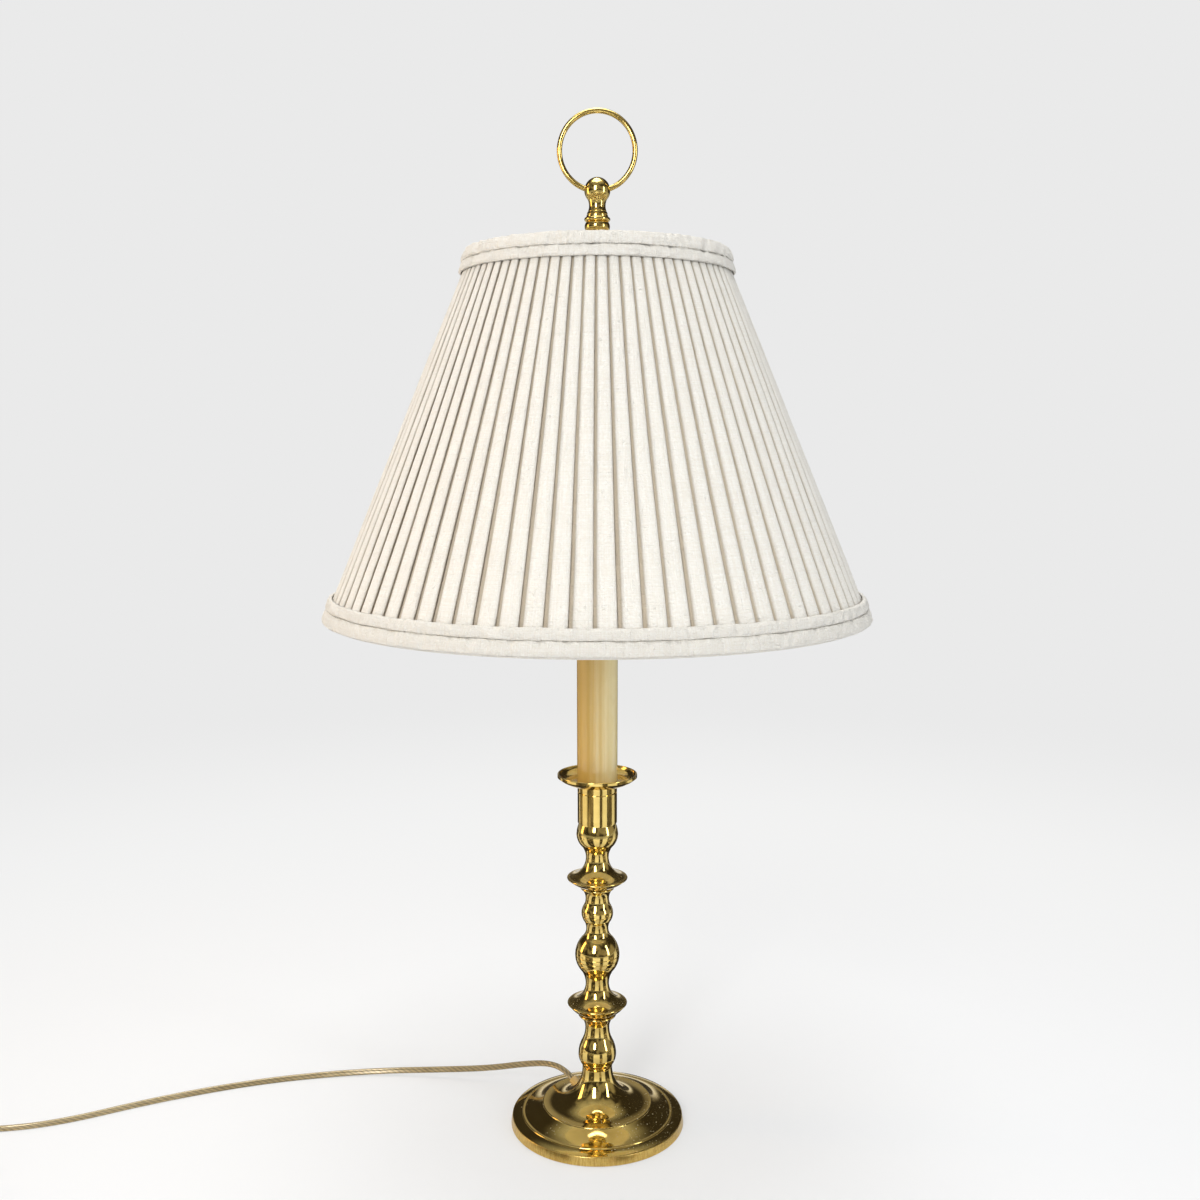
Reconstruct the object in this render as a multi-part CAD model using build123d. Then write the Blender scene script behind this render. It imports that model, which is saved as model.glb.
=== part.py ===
from build123d import *
import math
import os

# Candlestick table lamp: a turned brass stem on a round foot, a plastic candle cover, and a
# pleated linen shade held by a spider on a wire harp, with a ring finial on top.
# Millimetres, +Z up. The origin is on the lamp's axis, on the surface that it stands on.
# The harp and the finial's ring lie in the XZ plane, and the front of the lamp is towards -Y.

# ---- clearances ----
running_clearance = 0.075  # radial, round a pin or shaft that turns or slides
loose_clearance = 0.2  # radial, between fixed pieces that slip over each other
seat_gap = 0.05  # between faces of two pieces that move on each other
glue_line = 0.1  # between the layers of the shade
bend_share = 0.45  # of the shorter run beside it that a path's rounded corner takes

# ---- foot ----
felt_thickness = 1.8
felt_inset = 3.0  # from the foot's edge to the felt's
foot_lift = 0.8  # the brass edge above the surface that the felt stands on
foot_radius = 71.0
foot_rim_taper = 1.0  # how much the rim draws in from its bottom to its top edge
foot_rim_top = 7.9
outer_ring_radius = 61.3
outer_ring_z = 9.8
inner_ring_radius = 44.2
inner_ring_z = 17.2
ring_step = 0.8  # height and width of the two raised ring lines on the foot
ledge_crown = 0.25  # how much the ledge between the rim and the outer ring line swells
foot_height = 48.2
foot_wall = 3.5
foot_cavity_top = 36.0
foot_cavity_radius = 64.0

# ---- turned stem: radius of each neck, upwards, and the height of each turned piece ----
foot_neck_radius = 12.1
pear_neck_radius = 9.8
vase_foot_radius = 9.45
vase_neck_radius = 8.9
knop_neck_radius = 9.4
cup_neck_radius = 9.1
pear_height = 34.8
lower_disc_height = 38.0
vase_height = 47.0
knop_height = 25.0
upper_disc_height = 34.5

pear_radius = 15.4
pear_widest = 11.6  # height of the widest place above the piece's bottom
pear_foot_share = 0.35  # of the way up to the widest place that the hollow curve takes
vase_radius = 17.9
vase_widest = 24.7
vase_shoulder_share = 0.68  # of the way from the widest place to the neck that the swell takes
knop_radius = 12.7
knop_widest = 12.9
disc_radius = 23.4
disc_edge = 1.5  # thickness of the discs' edge
disc_step = 1.4  # how far the tier stands out under the disc
tier_thickness = 1.8
lower_tier_radius = 14.4
lower_tier_z = 10.2
lower_disc_z = 20.7  # underside of the disc's edge above the piece's bottom
upper_tier_radius = 12.6
upper_tier_z = 8.2
upper_disc_z = 16.9

groove_radius = 0.4  # of the fine turned lines
pear_grooves = [2.6, 5.6]  # heights above the piece's bottom
vase_grooves = [17.8, 21.4, 25.0]
knop_grooves = [7.4, 11.4, 15.3]

# ---- candle cup and drip pan ----
bulge_radius = 16.6
bulge_widest = 19.5
shoulder_swell = 0.35
barrel_radius = 15.6
barrel_bottom = 29.3
barrel_top = 53.6
barrel_groove = 1.0  # depth and width of the groove at each end of the barrel
cup_height = 59.9
pan_radius = 31.4
pan_wall = 1.3
pan_floor_radius = 22.0
pan_height = 8.8
pan_floor_height = 2.8

# ---- rod, nut and washer ----
rod_radius = 4.85
rod_bore_radius = 3.0
rod_bottom = 30.0
nut_across_flats = 14.3
nut_thickness = 4.0
washer_radius = 9.5
washer_thickness = 1.6

# ---- weight ----
weight_radius = 52.0
weight_thickness = 7.0
weight_hole_radius = 20.0

# ---- candle cover ----
candle_radius = 15.875
candle_wall = 1.25
candle_length = 152.4
cap_thickness = 2.4
cap_overhang = 0.6
cap_skirt = 5.0

# ---- harp ----
saddle_thickness = 1.6
saddle_width = 12.7
saddle_half_span = 32.0
saddle_ear = 6.0  # height of the turned-up ear under the ferrule
harp_wire_radius = 1.6
stub_length = 9.0  # of the saddle's pin inside the ferrule
harp_height = 228.6  # from the saddle's underside to the collar's top
harp_half_width = 60.0
harp_leg = 36.0  # straight part of each leg above the saddle's pin
harp_shoulder = 46.0  # height over which the legs spread
harp_arch = 92.0  # height over which the legs close to the top
harp_crown_half = 20.0
harp_crown_radius = 18.0
ferrule_radius = 3.6
ferrule_length = 15.0
ferrule_travel = 12.0
collar_radius = 6.0
collar_height = 6.4
stud_radius = 3.175
stud_length = 12.0

# ---- socket ----
socket_radius = 16.6
socket_wall = 0.5
socket_cap_height = 20.0
socket_cap_foot_radius = 9.0
socket_cap_skirt = 7.0
socket_shell_height = 38.0
sleeve_wall = 0.8
sleeve_gap = 0.15
rod_in_socket = 9.0  # how far the rod stands into the socket's cap
body_radius = 13.6
body_height = 17.0
body_above_rod = 4.0
screw_shell_radius = 14.2
screw_shell_wall = 0.4
screw_shell_height = 21.0
contact_radius = 3.0
contact_height = 1.6
terminal_radius = 2.2
terminal_length = 1.6
terminal_offset = 6.5
terminal_height = 6.0
switch_height = 11.5  # of the switch's shaft above the body's bottom
switch_shaft_radius = 2.0
switch_shaft_length = 18.0
switch_bush_radius = 3.6
switch_bush_proud = 1.5  # of the shell's inside
knob_gap = 0.2  # between the switch's bush and its knob
knob_radius = 4.6
knob_length = 10.0
knob_flutes = 12

# ---- bulb ----
bulb_cap_radius = 13.2
bulb_cap_height = 22.0
bulb_tip_radius = 4.5
bulb_tip_height = 2.2
bulb_radius = 30.0
bulb_length = 106.0
bulb_neck_radius = 14.0
bulb_neck_share = 0.45  # of the way up to the head that the neck's hollow curve takes
bulb_wall = 0.8

# ---- shade ----
shade_bottom_radius = 205.5
shade_top_radius = 93.1
shade_height = 266.5
shade_recess = 11.3  # from the shade's top edge down to the spider's seat
trim_thickness = 1.6
top_band_upper = 9.6
top_band_lower = 7.6
bottom_band_upper = 8.0
bottom_band_lower = 10.4
band_lap = 0.6  # how much further out the lapped band stands
band_crown = 0.35
cloth_edge = 1.0  # from the trim's edge to the pleated cloth's and the lining's
pleat_count = 80
pleat_depth = 1.6  # at the shade's bottom edge
pleat_cloth = 0.6
pleat_lap_share = 0.16  # of a pleat's width that the step takes
lining_thickness = 0.8
shade_ring_radius = 1.6
spider_wire_radius = 1.6
spider_arms_count = 3
spider_washer_radius = 13.0
spider_arm_flat = 34.0
spider_arm_end = 10.0

# ---- finial ----
finial_ring_radius = 27.3  # of the wire's centre line
finial_wire_radius = 1.9
finial_ball_radius = 9.4
finial_ball_z = 54.2  # heights above the finial's seat
finial_neck_radius = 6.0
finial_neck_z = 43.6
finial_bead_radius = 9.5
finial_bead_z = 34.2
finial_waist_radius = 6.4
finial_waist_z = 24.6
finial_stem_radius = 5.2
finial_stem_z = 13.0
finial_foot_radius = 7.0
finial_foot_height = 2.5
finial_thread_depth = 10.5
finial_bead_edge = 1.6  # half the bead's height
finial_grooves = [37.4, 39.6]

# ---- cord ----
cord_radius = 2.6
exit_turn = 130.0  # degrees round the axis from +X, on the foot's back
exit_tilt = 20.0  # degrees that the cord's hole points up
exit_radius = 27.0  # where the hole's axis comes through the foot's flare
bush_proud = 4.5
bush_inside = 6.0
bush_wall = 1.2
bush_clearance = 0.15
inner_bend_radius = 11.0
floor_gap = 0.05
exit_run = 12.6  # straight out of the bush
free_route = [  # after the first run, chosen by eye along the photographed cord
    (-41.5, 45.4, 27.4),
    (-63.0, 55.4, 21.6),
    (-95.0, 63.0, 13.4),
    (-140.0, 71.8, 7.6),
    (-192.0, 76.9, 3.9),
    (-242.0, 72.2, 2.65),
    (-292.0, 60.4, 2.65),
    (-341.0, 42.8, 2.65),
    (-389.0, 20.4, 2.65),
    (-430.0, -2.6, 2.65),
    (-466.0, -15.9, 2.65),
    (-503.0, -20.6, 2.65),
]
coil_start_x = -538.0
coil_start_y = -20.6
coil_heading = 180.0  # degrees from +X that the cord runs as it joins the coil
coil_outer_radius = 41.6
coil_step = 3.4  # drawn in or let out each half turn
coil_half_turns = 6  # in each of the two layers, with one more that climbs between them
coil_layer_rise = 5.95
coil_end_run = 26.0
gap_sample_step = 1.0

# ---- plug ----
plug_length = 33.0
plug_width = 25.0
plug_round = 3.0
plug_neck_length = 9.0
plug_neck_radius = 4.6
plug_neck_wall = 0.8
blade_length = 17.0
blade_width = 6.4
blade_thickness = 1.5
blade_spacing = 12.7
blade_hole_radius = 1.6

# ---- heights that follow from the sizes above ----
pear_bottom = foot_height
lower_disc_bottom = pear_bottom + pear_height
vase_bottom = lower_disc_bottom + lower_disc_height
knop_bottom = vase_bottom + vase_height
upper_disc_bottom = knop_bottom + knop_height
cup_bottom = upper_disc_bottom + upper_disc_height
pan_bottom = cup_bottom + cup_height
candle_bottom = pan_bottom + pan_floor_height
candle_top = candle_bottom + candle_length
saddle_bottom = candle_top + cap_thickness
socket_bottom = saddle_bottom + saddle_thickness
rod_top = socket_bottom + rod_in_socket
ear_top = saddle_bottom + saddle_ear
stub_top = ear_top + stub_length
harp_top = saddle_bottom + harp_height
spider_bottom = harp_top + seat_gap
spider_top = spider_bottom + 2 * spider_wire_radius
finial_bottom = spider_top + seat_gap
shade_top = spider_top + shade_recess
shade_bottom = shade_top - shade_height
shell_bottom = socket_bottom + socket_cap_height - socket_cap_skirt
body_bottom = rod_top + body_above_rod
body_top = body_bottom + body_height
bulb_bottom = body_top + contact_height + seat_gap

# ---- sizes shared by pieces that meet ----
bore_radius = rod_radius + loose_clearance
hung_bore_radius = stud_radius + running_clearance
shade_slope = (shade_bottom_radius - shade_top_radius) / shade_height
diagonal = math.sqrt(0.5)  # a round corner's middle, as a share of its radius along each side
across_slope = math.hypot(1, shade_slope)  # radial thickness for each unit square to the cone
cover_inset = trim_thickness
lining_inset = cover_inset + pleat_depth + pleat_cloth + glue_line
ring_inset = lining_inset + lining_thickness + glue_line


def turned(outline):
    """The solid that an outline of (radius, z) edges makes when it is turned about the axis."""
    return revolve(make_face(outline), Axis.Z)


def at(radius, z):
    """A point of an outline, in the plane that is turned."""
    return Vector(radius, 0, z)


def line(*points):
    """Straight edges through points of an outline."""
    return Polyline(*points).edges()


def disk(radius, bottom, top, bore=0.0):
    """A round plate or tube about the axis."""
    solid = Pos(0, 0, bottom) * extrude(Circle(radius), top - bottom)
    if bore:
        solid -= Pos(0, 0, bottom) * extrude(Circle(bore), top - bottom)
    return solid


def ogee(start, end, share=0.5):
    """Two arcs from one upright tangent to the next. The first takes share of the way."""
    join = start + (end - start) * share
    first = TangentArc(start, join, tangent=(0, 0, 1))
    second = TangentArc(end, join, tangent=(0, 0, -1))
    return [*first.edges(), *second.edges()]


def cove(neck, edge, downwards):
    """One arc that leaves a neck upright and runs out to an edge."""
    return TangentArc(neck, edge, tangent=(0, 0, -1 if downwards else 1)).edges()


def bored(outline, bottom, top):
    """A turned piece of the stem, closed down its bore for the rod."""
    outline = [*outline]
    outline += line(top, at(bore_radius, top.Z), at(bore_radius, bottom.Z), bottom)
    return turned(outline)


def groove(radius, z):
    """A fine turned line at a place on a turned piece."""
    return Pos(0, 0, z) * Torus(radius, groove_radius)


def grooved(solid, heights, bottom, reach):
    """The solid with a fine line cut where its side is, at each height above bottom."""
    for height in heights:
        z = bottom + height
        slice_there = solid & Pos(0, 0, z) * Cylinder(reach, groove_radius / 2)
        solid -= groove(Compound(slice_there).bounding_box().max.X, z)
    return solid


def cone_radius(z, inset):
    """The shade's radius at a height, for a layer that lies inset from its outer face."""
    return shade_bottom_radius - (z - shade_bottom) * shade_slope - inset * across_slope


def cone_layer(bottom, top, inset, thickness):
    """A band of the shade's cone between two heights."""
    outer_low = at(cone_radius(bottom, inset), bottom)
    outer_high = at(cone_radius(top, inset), top)
    inner_low = at(cone_radius(bottom, inset + thickness), bottom)
    inner_high = at(cone_radius(top, inset + thickness), top)
    return turned(line(outer_low, outer_high, inner_high, inner_low, outer_low))


# ---- foot ----
foot_neck = at(foot_neck_radius, foot_height)
flare_edge = at(inner_ring_radius - 2 * ring_step, inner_ring_z + ring_step)
flare_run = flare_edge.X - foot_neck.X
flare_drop = foot_neck.Z - flare_edge.Z
flare_radius = math.hypot(flare_run, flare_drop) ** 2 / (2 * flare_run)
flare_centre = at(foot_neck.X + flare_radius, foot_neck.Z)
cavity_flare_radius = flare_radius + foot_wall


def flare_at(radius):
    """The height of the foot's flare at a distance from the axis."""
    return flare_centre.Z - math.sqrt(flare_radius**2 - (flare_centre.X - radius) ** 2)


def cavity_at(z):
    """The cavity's radius at a height inside the flare."""
    return flare_centre.X - math.sqrt(cavity_flare_radius**2 - (flare_centre.Z - z) ** 2)


turn = math.radians(exit_turn)
tilt = math.radians(exit_tilt)
exit_outward = Vector(math.cos(turn), math.sin(turn), 0)
exit_direction = exit_outward * math.cos(tilt) + Vector(0, 0, math.sin(tilt))
exit_surface = exit_outward * exit_radius + Vector(0, 0, flare_at(exit_radius))
exit_point = exit_surface + exit_direction * bush_proud
bush_inner_end = exit_surface - exit_direction * bush_inside
bush_plane = Plane(bush_inner_end, z_dir=exit_direction)
bush_radius = cord_radius + bush_clearance + bush_wall
bush_length = bush_inside + bush_proud
foot_felt_radius = foot_radius - felt_inset


def ring_line(radius, z):
    """A raised bead on the foot's upper face, from its outer to its inner side."""
    start = at(radius + ring_step, z)
    crest = at(radius, z + ring_step)
    end = at(radius - 2 * ring_step, z + ring_step)
    return [*ThreePointArc(start, at(radius + ring_step * diagonal, z + ring_step * diagonal), crest).edges(),
            *line(crest, end)]


def make_foot():
    rim_low = at(foot_radius, foot_lift)
    rim_high = at(foot_radius - foot_rim_taper, foot_rim_top - ring_step)
    rim_round = at(foot_radius - foot_rim_taper - ring_step, foot_rim_top)
    rim_mid = at(rim_round.X + ring_step * diagonal, rim_high.Z + ring_step * diagonal)
    outer_ring_start = at(outer_ring_radius + ring_step, outer_ring_z)
    outer_ring_end = at(outer_ring_radius - 2 * ring_step, outer_ring_z + ring_step)
    inner_ring_start = at(inner_ring_radius + ring_step, inner_ring_z)
    crown = (rim_round + outer_ring_start) * 0.5 + Vector(0, 0, ledge_crown)
    dish = (outer_ring_end + inner_ring_start) * 0.5 - Vector(0, 0, ring_step)
    seat = at(foot_felt_radius + loose_clearance, felt_thickness)
    mouth = at(foot_felt_radius + loose_clearance, foot_lift)
    wall_low = at(foot_cavity_radius, felt_thickness)
    wall_high = at(foot_cavity_radius, foot_rim_top - foot_wall)
    under_ring = at(outer_ring_radius, outer_ring_z - foot_wall)
    flare_low = at(flare_centre.X, flare_centre.Z - cavity_flare_radius)
    flare_mid_radius = (flare_low.X + cavity_at(foot_cavity_top)) * 0.5
    flare_mid_drop = math.sqrt(cavity_flare_radius**2 - (flare_low.X - flare_mid_radius) ** 2)
    flare_mid = at(flare_mid_radius, flare_centre.Z - flare_mid_drop)
    cavity_edge = at(cavity_at(foot_cavity_top), foot_cavity_top)
    outline = [
        *line(rim_low, rim_high),
        *ThreePointArc(rim_high, rim_mid, rim_round).edges(),
        *ThreePointArc(rim_round, crown, outer_ring_start).edges(),
        *ring_line(outer_ring_radius, outer_ring_z),
        *ThreePointArc(outer_ring_end, dish, inner_ring_start).edges(),
        *ring_line(inner_ring_radius, inner_ring_z),
        *cove(foot_neck, flare_edge, True),
        *line(foot_neck, at(bore_radius, foot_height), at(bore_radius, foot_cavity_top), cavity_edge),
        *ThreePointArc(cavity_edge, flare_mid, flare_low).edges(),
        *line(flare_low, under_ring, wall_high, wall_low, seat, mouth, rim_low),
    ]
    hole = extrude(bush_plane * Circle(bush_radius + bush_clearance), bush_length * 2)
    return turned(outline) - hole


def make_bush():
    solid = extrude(bush_plane * Circle(bush_radius), bush_length)
    return solid - extrude(bush_plane * Circle(cord_radius + bush_clearance), bush_length)


def make_felt():
    return disk(foot_felt_radius, 0, felt_thickness)


def make_weight():
    top = felt_thickness + weight_thickness
    return disk(weight_radius, felt_thickness, top, weight_hole_radius)


def make_washer():
    bottom = foot_cavity_top - washer_thickness
    return disk(washer_radius, bottom, foot_cavity_top, bore_radius)


def make_nut():
    top = foot_cavity_top - washer_thickness
    hexagon = RegularPolygon(nut_across_flats / 2, 6, major_radius=False) - Circle(bore_radius)
    return Pos(0, 0, top - nut_thickness) * extrude(hexagon, nut_thickness)


def make_rod():
    return disk(rod_radius, rod_bottom, rod_top, rod_bore_radius)


# ---- turned stem ----
def make_pear():
    bottom = at(foot_neck_radius, pear_bottom)
    widest = at(pear_radius, pear_bottom + pear_widest)
    top = at(pear_neck_radius, lower_disc_bottom)
    solid = bored([*ogee(bottom, widest, pear_foot_share), *ogee(widest, top)], bottom, top)
    return grooved(solid, pear_grooves, pear_bottom, pear_radius + 1)


def make_disc(bottom, top, tier_radius, tier_z, disc_z):
    """One saucer of the stem: a cove, a round-edged tier, the thin disc, and a cove above it."""
    tier_low = at(tier_radius, bottom.Z + tier_z)
    tier_high = at(tier_radius, tier_low.Z + tier_thickness)
    tier_out = at(tier_radius + tier_thickness / 2, tier_low.Z + tier_thickness / 2)
    under = at(tier_radius - disc_step, tier_high.Z)
    edge_low = at(disc_radius, bottom.Z + disc_z)
    edge_high = at(disc_radius, edge_low.Z + disc_edge)
    edge_out = at(disc_radius + disc_edge / 2, edge_low.Z + disc_edge / 2)
    under_mid = (under + edge_low) * 0.5 + Vector(disc_step / 2, 0, -disc_step / 2)
    outline = [
        *cove(bottom, tier_low, False),
        *ThreePointArc(tier_low, tier_out, tier_high).edges(),
        *line(tier_high, under),
        *ThreePointArc(under, under_mid, edge_low).edges(),
        *ThreePointArc(edge_low, edge_out, edge_high).edges(),
        *cove(top, edge_high, True),
    ]
    return bored(outline, bottom, top)


def make_lower_disc():
    bottom = at(pear_neck_radius, lower_disc_bottom)
    top = at(vase_foot_radius, vase_bottom)
    return make_disc(bottom, top, lower_tier_radius, lower_tier_z, lower_disc_z)


def make_upper_disc():
    bottom = at(knop_neck_radius, upper_disc_bottom)
    top = at(cup_neck_radius, cup_bottom)
    return make_disc(bottom, top, upper_tier_radius, upper_tier_z, upper_disc_z)


def make_vase():
    bottom = at(vase_foot_radius, vase_bottom)
    widest = at(vase_radius, vase_bottom + vase_widest)
    top = at(vase_neck_radius, knop_bottom)
    solid = bored([*ogee(bottom, widest), *ogee(widest, top, vase_shoulder_share)], bottom, top)
    return grooved(solid, vase_grooves, vase_bottom, vase_radius + 1)


def make_knop():
    bottom = at(vase_neck_radius, knop_bottom)
    widest = at(knop_radius, knop_bottom + knop_widest)
    top = at(knop_neck_radius, upper_disc_bottom)
    solid = bored([*ogee(bottom, widest), *ogee(widest, top)], bottom, top)
    return grooved(solid, knop_grooves, knop_bottom, knop_radius + 1)


def make_cup():
    bottom = at(cup_neck_radius, cup_bottom)
    widest = at(bulge_radius, cup_bottom + bulge_widest)
    low = cup_bottom + barrel_bottom
    high = cup_bottom + barrel_top
    groove_floor = barrel_radius - barrel_groove
    shoulder = at(groove_floor, low - barrel_groove)
    shoulder_mid = (widest + shoulder) * 0.5 + Vector(shoulder_swell, 0, 0)
    top = at(barrel_radius, pan_bottom)
    outline = [
        *ogee(bottom, widest),
        *ThreePointArc(widest, shoulder_mid, shoulder).edges(),
        *line(shoulder, at(groove_floor, low), at(barrel_radius, low), at(barrel_radius, high),
              at(groove_floor, high), at(groove_floor, high + barrel_groove),
              at(barrel_radius, high + barrel_groove), top),
    ]
    return bored(outline, bottom, top)


def make_pan():
    """The drip pan: a thin dish that flares out from the candle cup and turns up at its rim."""
    bottom = at(barrel_radius, pan_bottom)
    rim_z = pan_bottom + pan_height
    under_rim = at(pan_radius, rim_z - 2 * pan_wall)
    rim_outer = at(pan_radius, rim_z - pan_wall / 2)
    rim_inner = at(pan_radius - pan_wall, rim_z - pan_wall / 2)
    rim_top = at(pan_radius - pan_wall / 2, rim_z)
    floor_edge = at(pan_floor_radius, candle_bottom)
    under_mid = (bottom + under_rim) * 0.5 + Vector(pan_wall, 0, -pan_wall)
    inner_mid = (floor_edge + rim_inner) * 0.5 + Vector(pan_wall, 0, -pan_wall)
    floor = at(bore_radius, candle_bottom)
    outline = [
        *ThreePointArc(bottom, under_mid, under_rim).edges(),
        *line(under_rim, rim_outer),
        *ThreePointArc(rim_outer, rim_top, rim_inner).edges(),
        *ThreePointArc(rim_inner, inner_mid, floor_edge).edges(),
        *line(floor_edge, floor, at(bore_radius, pan_bottom), bottom),
    ]
    return turned(outline)


# ---- candle cover ----
def make_candle():
    return disk(candle_radius, candle_bottom, candle_top, candle_radius - candle_wall)


def make_cap():
    """The brass cap that closes the candle cover, with a skirt inside it."""
    plate = disk(candle_radius + cap_overhang, candle_top, saddle_bottom)
    skirt_radius = candle_radius - candle_wall - loose_clearance
    skirt = disk(skirt_radius, candle_top - cap_skirt, candle_top)
    plate = chamfer(plate.edges().group_by(Axis.Z)[-1], cap_overhang)
    return plate + skirt - disk(bore_radius, candle_top - cap_skirt, saddle_bottom)


# ---- harp ----
def make_saddle():
    """A strap under the socket, with an ear and a pin turned up at each end."""
    half = saddle_half_span + saddle_width / 4
    strap = Pos(0, 0, saddle_bottom) * extrude(Rectangle(2 * half, saddle_width), saddle_thickness)
    strap -= disk(bore_radius, saddle_bottom, socket_bottom)
    solid = strap
    for side in (-1, 1):
        ear = Pos(side * saddle_half_span, 0, socket_bottom)
        solid += ear * extrude(Circle(ferrule_radius), ear_top - socket_bottom)
        solid += ear * extrude(Circle(harp_wire_radius), stub_top - socket_bottom)
    return solid


def make_harp_wire():
    leg_top = stub_top + harp_leg
    crown_z = harp_top - collar_height + harp_wire_radius
    points = [
        at(-saddle_half_span, stub_top),
        at(-saddle_half_span, leg_top),
        at(-harp_half_width, leg_top + harp_shoulder),
        at(-harp_half_width, crown_z - harp_arch),
        at(-harp_crown_half, crown_z),
        at(harp_crown_half, crown_z),
        at(harp_half_width, crown_z - harp_arch),
        at(harp_half_width, leg_top + harp_shoulder),
        at(saddle_half_span, leg_top),
        at(saddle_half_span, stub_top),
    ]
    corners = zip(points[1:], smooth_radii(points))
    radii = [harp_crown_radius if corner.Z == crown_z else radius for corner, radius in corners]
    path = FilletPolyline(*points, radius=radii)
    return sweep(Plane(points[0], z_dir=(0, 0, 1)) * Circle(harp_wire_radius), path=path)


def smooth_radii(points):
    """For each corner of a path, the largest radius that leaves a little of each run straight."""
    radii = []
    for before, corner, after in zip(points, points[1:], points[2:]):
        arriving = corner - before
        leaving = after - corner
        half_turn = math.radians(arriving.get_angle(leaving)) / 2
        radii.append(bend_share * min(arriving.length, leaving.length) / math.tan(half_turn))
    return radii


def make_ferrule(side):
    ring = Circle(ferrule_radius) - Circle(harp_wire_radius + running_clearance)
    place = Pos(side * saddle_half_span, 0, ear_top + seat_gap)
    solid = place * extrude(ring, ferrule_length)
    rims = solid.edges().filter_by(GeomType.CIRCLE).group_by(SortBy.RADIUS)[-1]
    return chamfer(rims, (ferrule_radius - harp_wire_radius) / 4)


def make_stud():
    """The collar on the harp's crown, with the pin that the shade and finial go on."""
    solid = disk(collar_radius, harp_top - collar_height, harp_top)
    solid = chamfer(solid.edges().filter_by(GeomType.CIRCLE), collar_radius / 8)
    solid += disk(stud_radius, harp_top - collar_height, harp_top + stud_length)
    wire_z = harp_top - collar_height + harp_wire_radius
    hole = Plane((-collar_radius, 0, wire_z), z_dir=(1, 0, 0)) * Circle(harp_wire_radius + running_clearance)
    return solid - extrude(hole, 2 * collar_radius)


# ---- socket ----
def make_socket_cap():
    skirt_top = socket_bottom + socket_cap_height
    skirt_low = skirt_top - socket_cap_skirt
    foot = at(socket_cap_foot_radius, socket_bottom)
    skirt_radius = socket_radius + socket_wall + loose_clearance
    low = at(skirt_radius + socket_wall, skirt_low)
    shoulder = at(skirt_radius + socket_wall, skirt_low - socket_wall * 2)
    dome_mid = (foot + shoulder) * 0.5 + Vector(socket_wall * 4, 0, -socket_wall * 4)
    inner_shoulder = at(skirt_radius, skirt_low - socket_wall * 2)
    inner_foot = at(socket_cap_foot_radius - socket_wall, socket_bottom + socket_wall * 2)
    inner_mid = (inner_foot + inner_shoulder) * 0.5 + Vector(socket_wall * 4, 0, -socket_wall * 4)
    outline = [
        *ThreePointArc(foot, dome_mid, shoulder).edges(),
        *line(shoulder, low, at(low.X, skirt_top), at(skirt_radius, skirt_top), inner_shoulder),
        *ThreePointArc(inner_shoulder, inner_mid, inner_foot).edges(),
        *line(inner_foot, at(bore_radius, inner_foot.Z), at(bore_radius, socket_bottom), foot),
    ]
    return turned(outline)


switch_z = body_bottom + switch_height
switch_plane = Plane((0, -body_radius / 2, switch_z), z_dir=(0, -1, 0))
shell_top = shell_bottom + socket_shell_height
sleeve_radius = socket_radius - sleeve_gap
shell_floor = shell_bottom + socket_wall
switch_bush_end = socket_radius + switch_bush_proud
knob_start = switch_bush_end + knob_gap


def make_shell():
    solid = disk(socket_radius + socket_wall, shell_bottom, shell_top, socket_radius)
    return solid - extrude(switch_plane * Circle(switch_bush_radius + loose_clearance), socket_radius * 2)


def make_sleeve():
    solid = disk(sleeve_radius, shell_floor, shell_top - socket_wall, sleeve_radius - sleeve_wall)
    return solid - extrude(switch_plane * Circle(switch_bush_radius + loose_clearance), socket_radius * 2)


def make_body():
    """The socket's insulating body, with the bush that the switch's shaft turns in."""
    solid = disk(body_radius, body_bottom, body_top)
    bush_run = switch_bush_end - body_radius / 2
    solid += extrude(switch_plane * Circle(switch_bush_radius), bush_run)
    hole = switch_plane * Circle(switch_shaft_radius + running_clearance)
    solid -= extrude(hole, bush_run)
    for side in (-1, 1):
        solid -= terminal_place(side) * Cylinder(terminal_radius, 4 * terminal_length)
    return solid


def terminal_place(side):
    """Where a terminal screw sits, on the left or right of the socket's body."""
    x = side * (body_radius - terminal_length)
    return Pos(x, 0, body_bottom + terminal_height) * Rot(0, 90, 0)


def make_terminals():
    screws = []
    for side in (-1, 1):
        head = Cylinder(terminal_radius - loose_clearance, 2 * terminal_length)
        slot = Box(terminal_radius / 3, 3 * terminal_radius, 5 * terminal_length)
        slot = Pos(0, 0, side * 3 * terminal_length) * slot
        screws.append(terminal_place(side) * (head - slot))
    return Compound(screws)


def make_screw_shell():
    top = body_top + screw_shell_height
    solid = disk(screw_shell_radius, body_top, top, screw_shell_radius - screw_shell_wall)
    return solid + disk(screw_shell_radius, body_top, body_top + screw_shell_wall, contact_radius * 2)


def make_contact():
    return disk(contact_radius, body_top, body_top + contact_height)


def make_switch_shaft():
    reach = switch_shaft_length
    start = switch_plane.offset(running_clearance)
    return extrude(start * Circle(switch_shaft_radius), reach)


def make_knob():
    """The turn knob, fluted round its rim, on the end of the switch's shaft."""
    plane = Plane((0, -knob_start, switch_z), z_dir=(0, -1, 0))
    solid = extrude(plane * Circle(knob_radius), knob_length)
    solid = fillet(solid.faces().sort_by(Axis.Y)[0].edges(), knob_radius / 5)
    for index in range(knob_flutes):
        place = Rot(0, 0, index * 360 / knob_flutes) * Pos(knob_radius, 0)
        solid -= extrude(plane * place * Circle(knob_radius / 12), knob_length)
    return solid - make_switch_shaft()


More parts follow.
